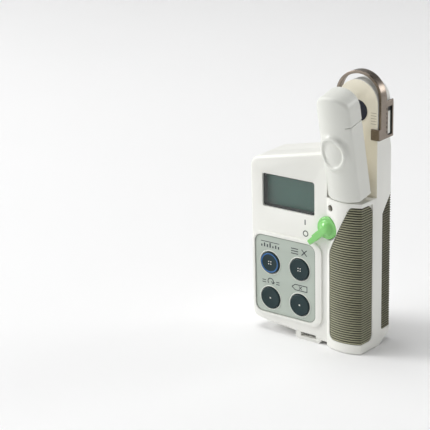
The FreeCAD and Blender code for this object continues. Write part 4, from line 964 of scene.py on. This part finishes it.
def stopField(x, y, z):
    right = stop["at"][0] + stop["outer"]
    u, v = x - stop["at"][0], z - stop["at"][1]
    ring = np.where(v > 0, np.hypot(u, v), np.abs(u))
    lower = np.where(u > 0, stop["low"], stop["left"]) - z
    middle = (stop["front"] + stop["back"]) / 2
    depth = np.abs(y - middle) - (stop["back"] - stop["front"]) / 2
    band = both(np.abs(ring - stop["outer"] + stop["thick"] / 2) - stop["thick"] / 2, depth, stop["edge"])
    lip = both(np.abs(ring - stop["outer"] + stop["lip"] / 2) - stop["lip"] / 2,
               np.abs(y - stop["front"] - stop["lipDeep"] / 2) - stop["lipDeep"] / 2, 0.4)
    solid = np.maximum(np.minimum(band, lip), lower)
    tall, inner = (stop["legTop"] - stop["low"]) / 2, right - stop["thick"] / 2
    leg = boxField(x, y, z, (inner, (stop["front"] + stop["legBack"]) / 2, stop["low"] + tall),
                   (stop["thick"] / 2, (stop["legBack"] - stop["front"]) / 2, tall), stop["edge"])
    windowMiddle, windowTall = stop["window"]
    window = boxField(x, y, z, (inner, (stop["back"] + stop["legBack"]) / 2, windowMiddle),
                      (2.0, (stop["legBack"] - stop["back"]) / 2 - stop["rail"], windowTall), 0.3)
    leg = both(leg, -window, 0.15)
    foldMiddle, foldDeep = stop["foldDepth"]
    fold = boxField(x, y, z, (inner - 0.1, foldMiddle, stop["legTop"] + stop["fold"] / 2),
                    (0.55, foldDeep, stop["fold"] / 2), 0.3)
    earTall, half = (stop["earTop"] - stop["low"]) / 2, stop["half"]
    ear = boxField(x, y, z, ((stop["earLeft"] + right) / 2, stop["earFront"] + half, stop["low"] + earTall),
                   ((right - stop["earLeft"]) / 2, half, earTall), stop["edge"])
    bridge = boxField(x, y, z, (inner, stop["earFront"] + stop["bridge"], stop["low"] + earTall),
                      (half, stop["bridge"], earTall), stop["edge"])
    solid = np.minimum.reduce([solid, leg, fold, ear, bridge])
    row = np.abs((z - teeth["low"]) % teeth["pitch"] - teeth["pitch"] / 2) - teeth["tall"]
    row = np.maximum(np.abs(y - stop["back"]) - teeth["wide"], row)
    ends = np.maximum(teeth["low"] - z, z - teeth["high"])
    return np.maximum(solid, -np.maximum(row, np.maximum(right - teeth["deep"] - x, ends)))


stopMesh = netted("depthStop", stopField, (49.0, 12.4, 124.5), (80.5, 28.5, 164.0), stop["cell"])
added("depthStop", stopMesh, "stopSteel", "stop", ["depth_stop"])
print("depth stop:", len(stopMesh.polygons), "faces")


# Camera, floor and light

shot = {"azimuth": 33.0, "elevation": 19.0, "distance": 0.8069, "focal": 1400.0, "image": 430.0,
        "centre": (335.0, 210.0), "target": (361.8, 352.7), "point": (77.0, 0.7, 1.5)}
turn, tip = math.radians(shot["azimuth"]), math.radians(shot["elevation"])
right = Vector((math.cos(turn), math.sin(turn), 0))
back = Vector((math.sin(turn) * math.cos(tip), -math.cos(turn) * math.cos(tip), math.sin(tip)))
up = back.cross(right)
aside = (shot["target"][0] - shot["centre"][0]) / shot["focal"] * shot["distance"]
above = -(shot["target"][1] - shot["centre"][1]) / shot["focal"] * shot["distance"]
cameraData = bpy.data.cameras.new("camera")
cameraData.sensor_width = 36.0
cameraData.lens = cameraData.sensor_width * shot["focal"] / shot["image"]
cameraData.shift_x = -(shot["centre"][0] - shot["image"] / 2) / shot["image"]
cameraData.shift_y = (shot["centre"][1] - shot["image"] / 2) / shot["image"]
camera = bpy.data.objects.new("camera", cameraData)
scene.collection.objects.link(camera)
camera.matrix_world = Matrix.Translation(
    at(*shot["point"]) - right * aside - up * above + back * shot["distance"]) @ Matrix(
        (right, up, back)).transposed().to_4x4()
scene.camera = camera

floorFinish = {"colour": "#F4F4F4", "shade": "#F1F1F1", "rough": 0.8, "grain": 4.0, "cloud": 300.0,
               "relief": 0.02}
# a round floor that turns up into a wall, in metres
sweep = {"flat": 2.6, "bend": 1.6, "rise": 3.0, "steps": 64}
profile = [(0.0, 0.0)] + [(sweep["flat"] + sweep["bend"] * math.sin(math.radians(k * 10)),
                           sweep["bend"] * (1 - math.cos(math.radians(k * 10)))) for k in range(10)]
profile.append((sweep["flat"] + sweep["bend"], sweep["rise"]))
points, faces = [(0.0, 0.0, 0.0)], []
for radius, z in profile[1:]:
    for k in range(sweep["steps"]):
        angle = 2 * math.pi * k / sweep["steps"]
        points.append((radius * math.cos(angle), radius * math.sin(angle), z))
for k in range(sweep["steps"]):
    following = (k + 1) % sweep["steps"]
    faces.append((0, 1 + k, 1 + following))
    for i in range(len(profile) - 2):
        a, b = 1 + i * sweep["steps"], 1 + (i + 1) * sweep["steps"]
        faces.append((a + following, a + k, b + k, b + following))
floorMesh = bpy.data.meshes.new("floor")
floorMesh.from_pydata(points, [], faces)
floorMesh.polygons.foreach_set("use_smooth", [True] * len(faces))
floor = bpy.data.objects.new("floor", floorMesh)
scene.collection.objects.link(floor)
floorMesh.materials.append(mixed("paintedSweep", floorFinish))

lamps = {
    "keyLight": {"at": (-2.00, -0.95, 1.35), "size": 0.9, "power": 35.0},
    "frontLight": {"at": (-1.50, -1.75, 0.85), "size": 0.8, "power": 7.5},
    "topLight": {"at": (-0.40, -0.15, 2.90), "size": 1.6, "power": 44.0},
    "sideLight": {"at": (1.45, 1.80, 0.75), "size": 0.7, "power": 9.5},
}
for name, lamp in lamps.items():
    data = bpy.data.lights.new(name, "AREA")
    data.size = lamp["size"]
    data.energy = lamp["power"]
    light = bpy.data.objects.new(name, data)
    scene.collection.objects.link(light)
    light.location = lamp["at"]
    light.rotation_mode = "QUATERNION"
    light.rotation_quaternion = (Vector(lamp["at"]) - Vector((0, 0, 0.08))).to_track_quat("Z", "Y")
world = bpy.data.worlds.new("studio")
world.use_nodes = True
sky = world.node_tree
sky.nodes.clear()
facing = addNode(sky, "ShaderNodeTexCoord").outputs["Generated"]
across = addNode(sky, "ShaderNodeSeparateXYZ", {0: facing}).outputs["X"]
level = addNode(sky, "ShaderNodeMapRange", {
    "Value": across, "From Min": -0.8, "From Max": 0.3, "To Min": 0.42, "To Max": 0.0}).outputs["Result"]
glow = addNode(sky, "ShaderNodeBackground", {"Color": (1.0, 1.0, 1.0, 1.0), "Strength": level})
addNode(sky, "ShaderNodeOutputWorld", {"Surface": glow.outputs["Background"]})
scene.world = world
scene.view_settings.view_transform = "Standard"
print("camera, floor and light set")
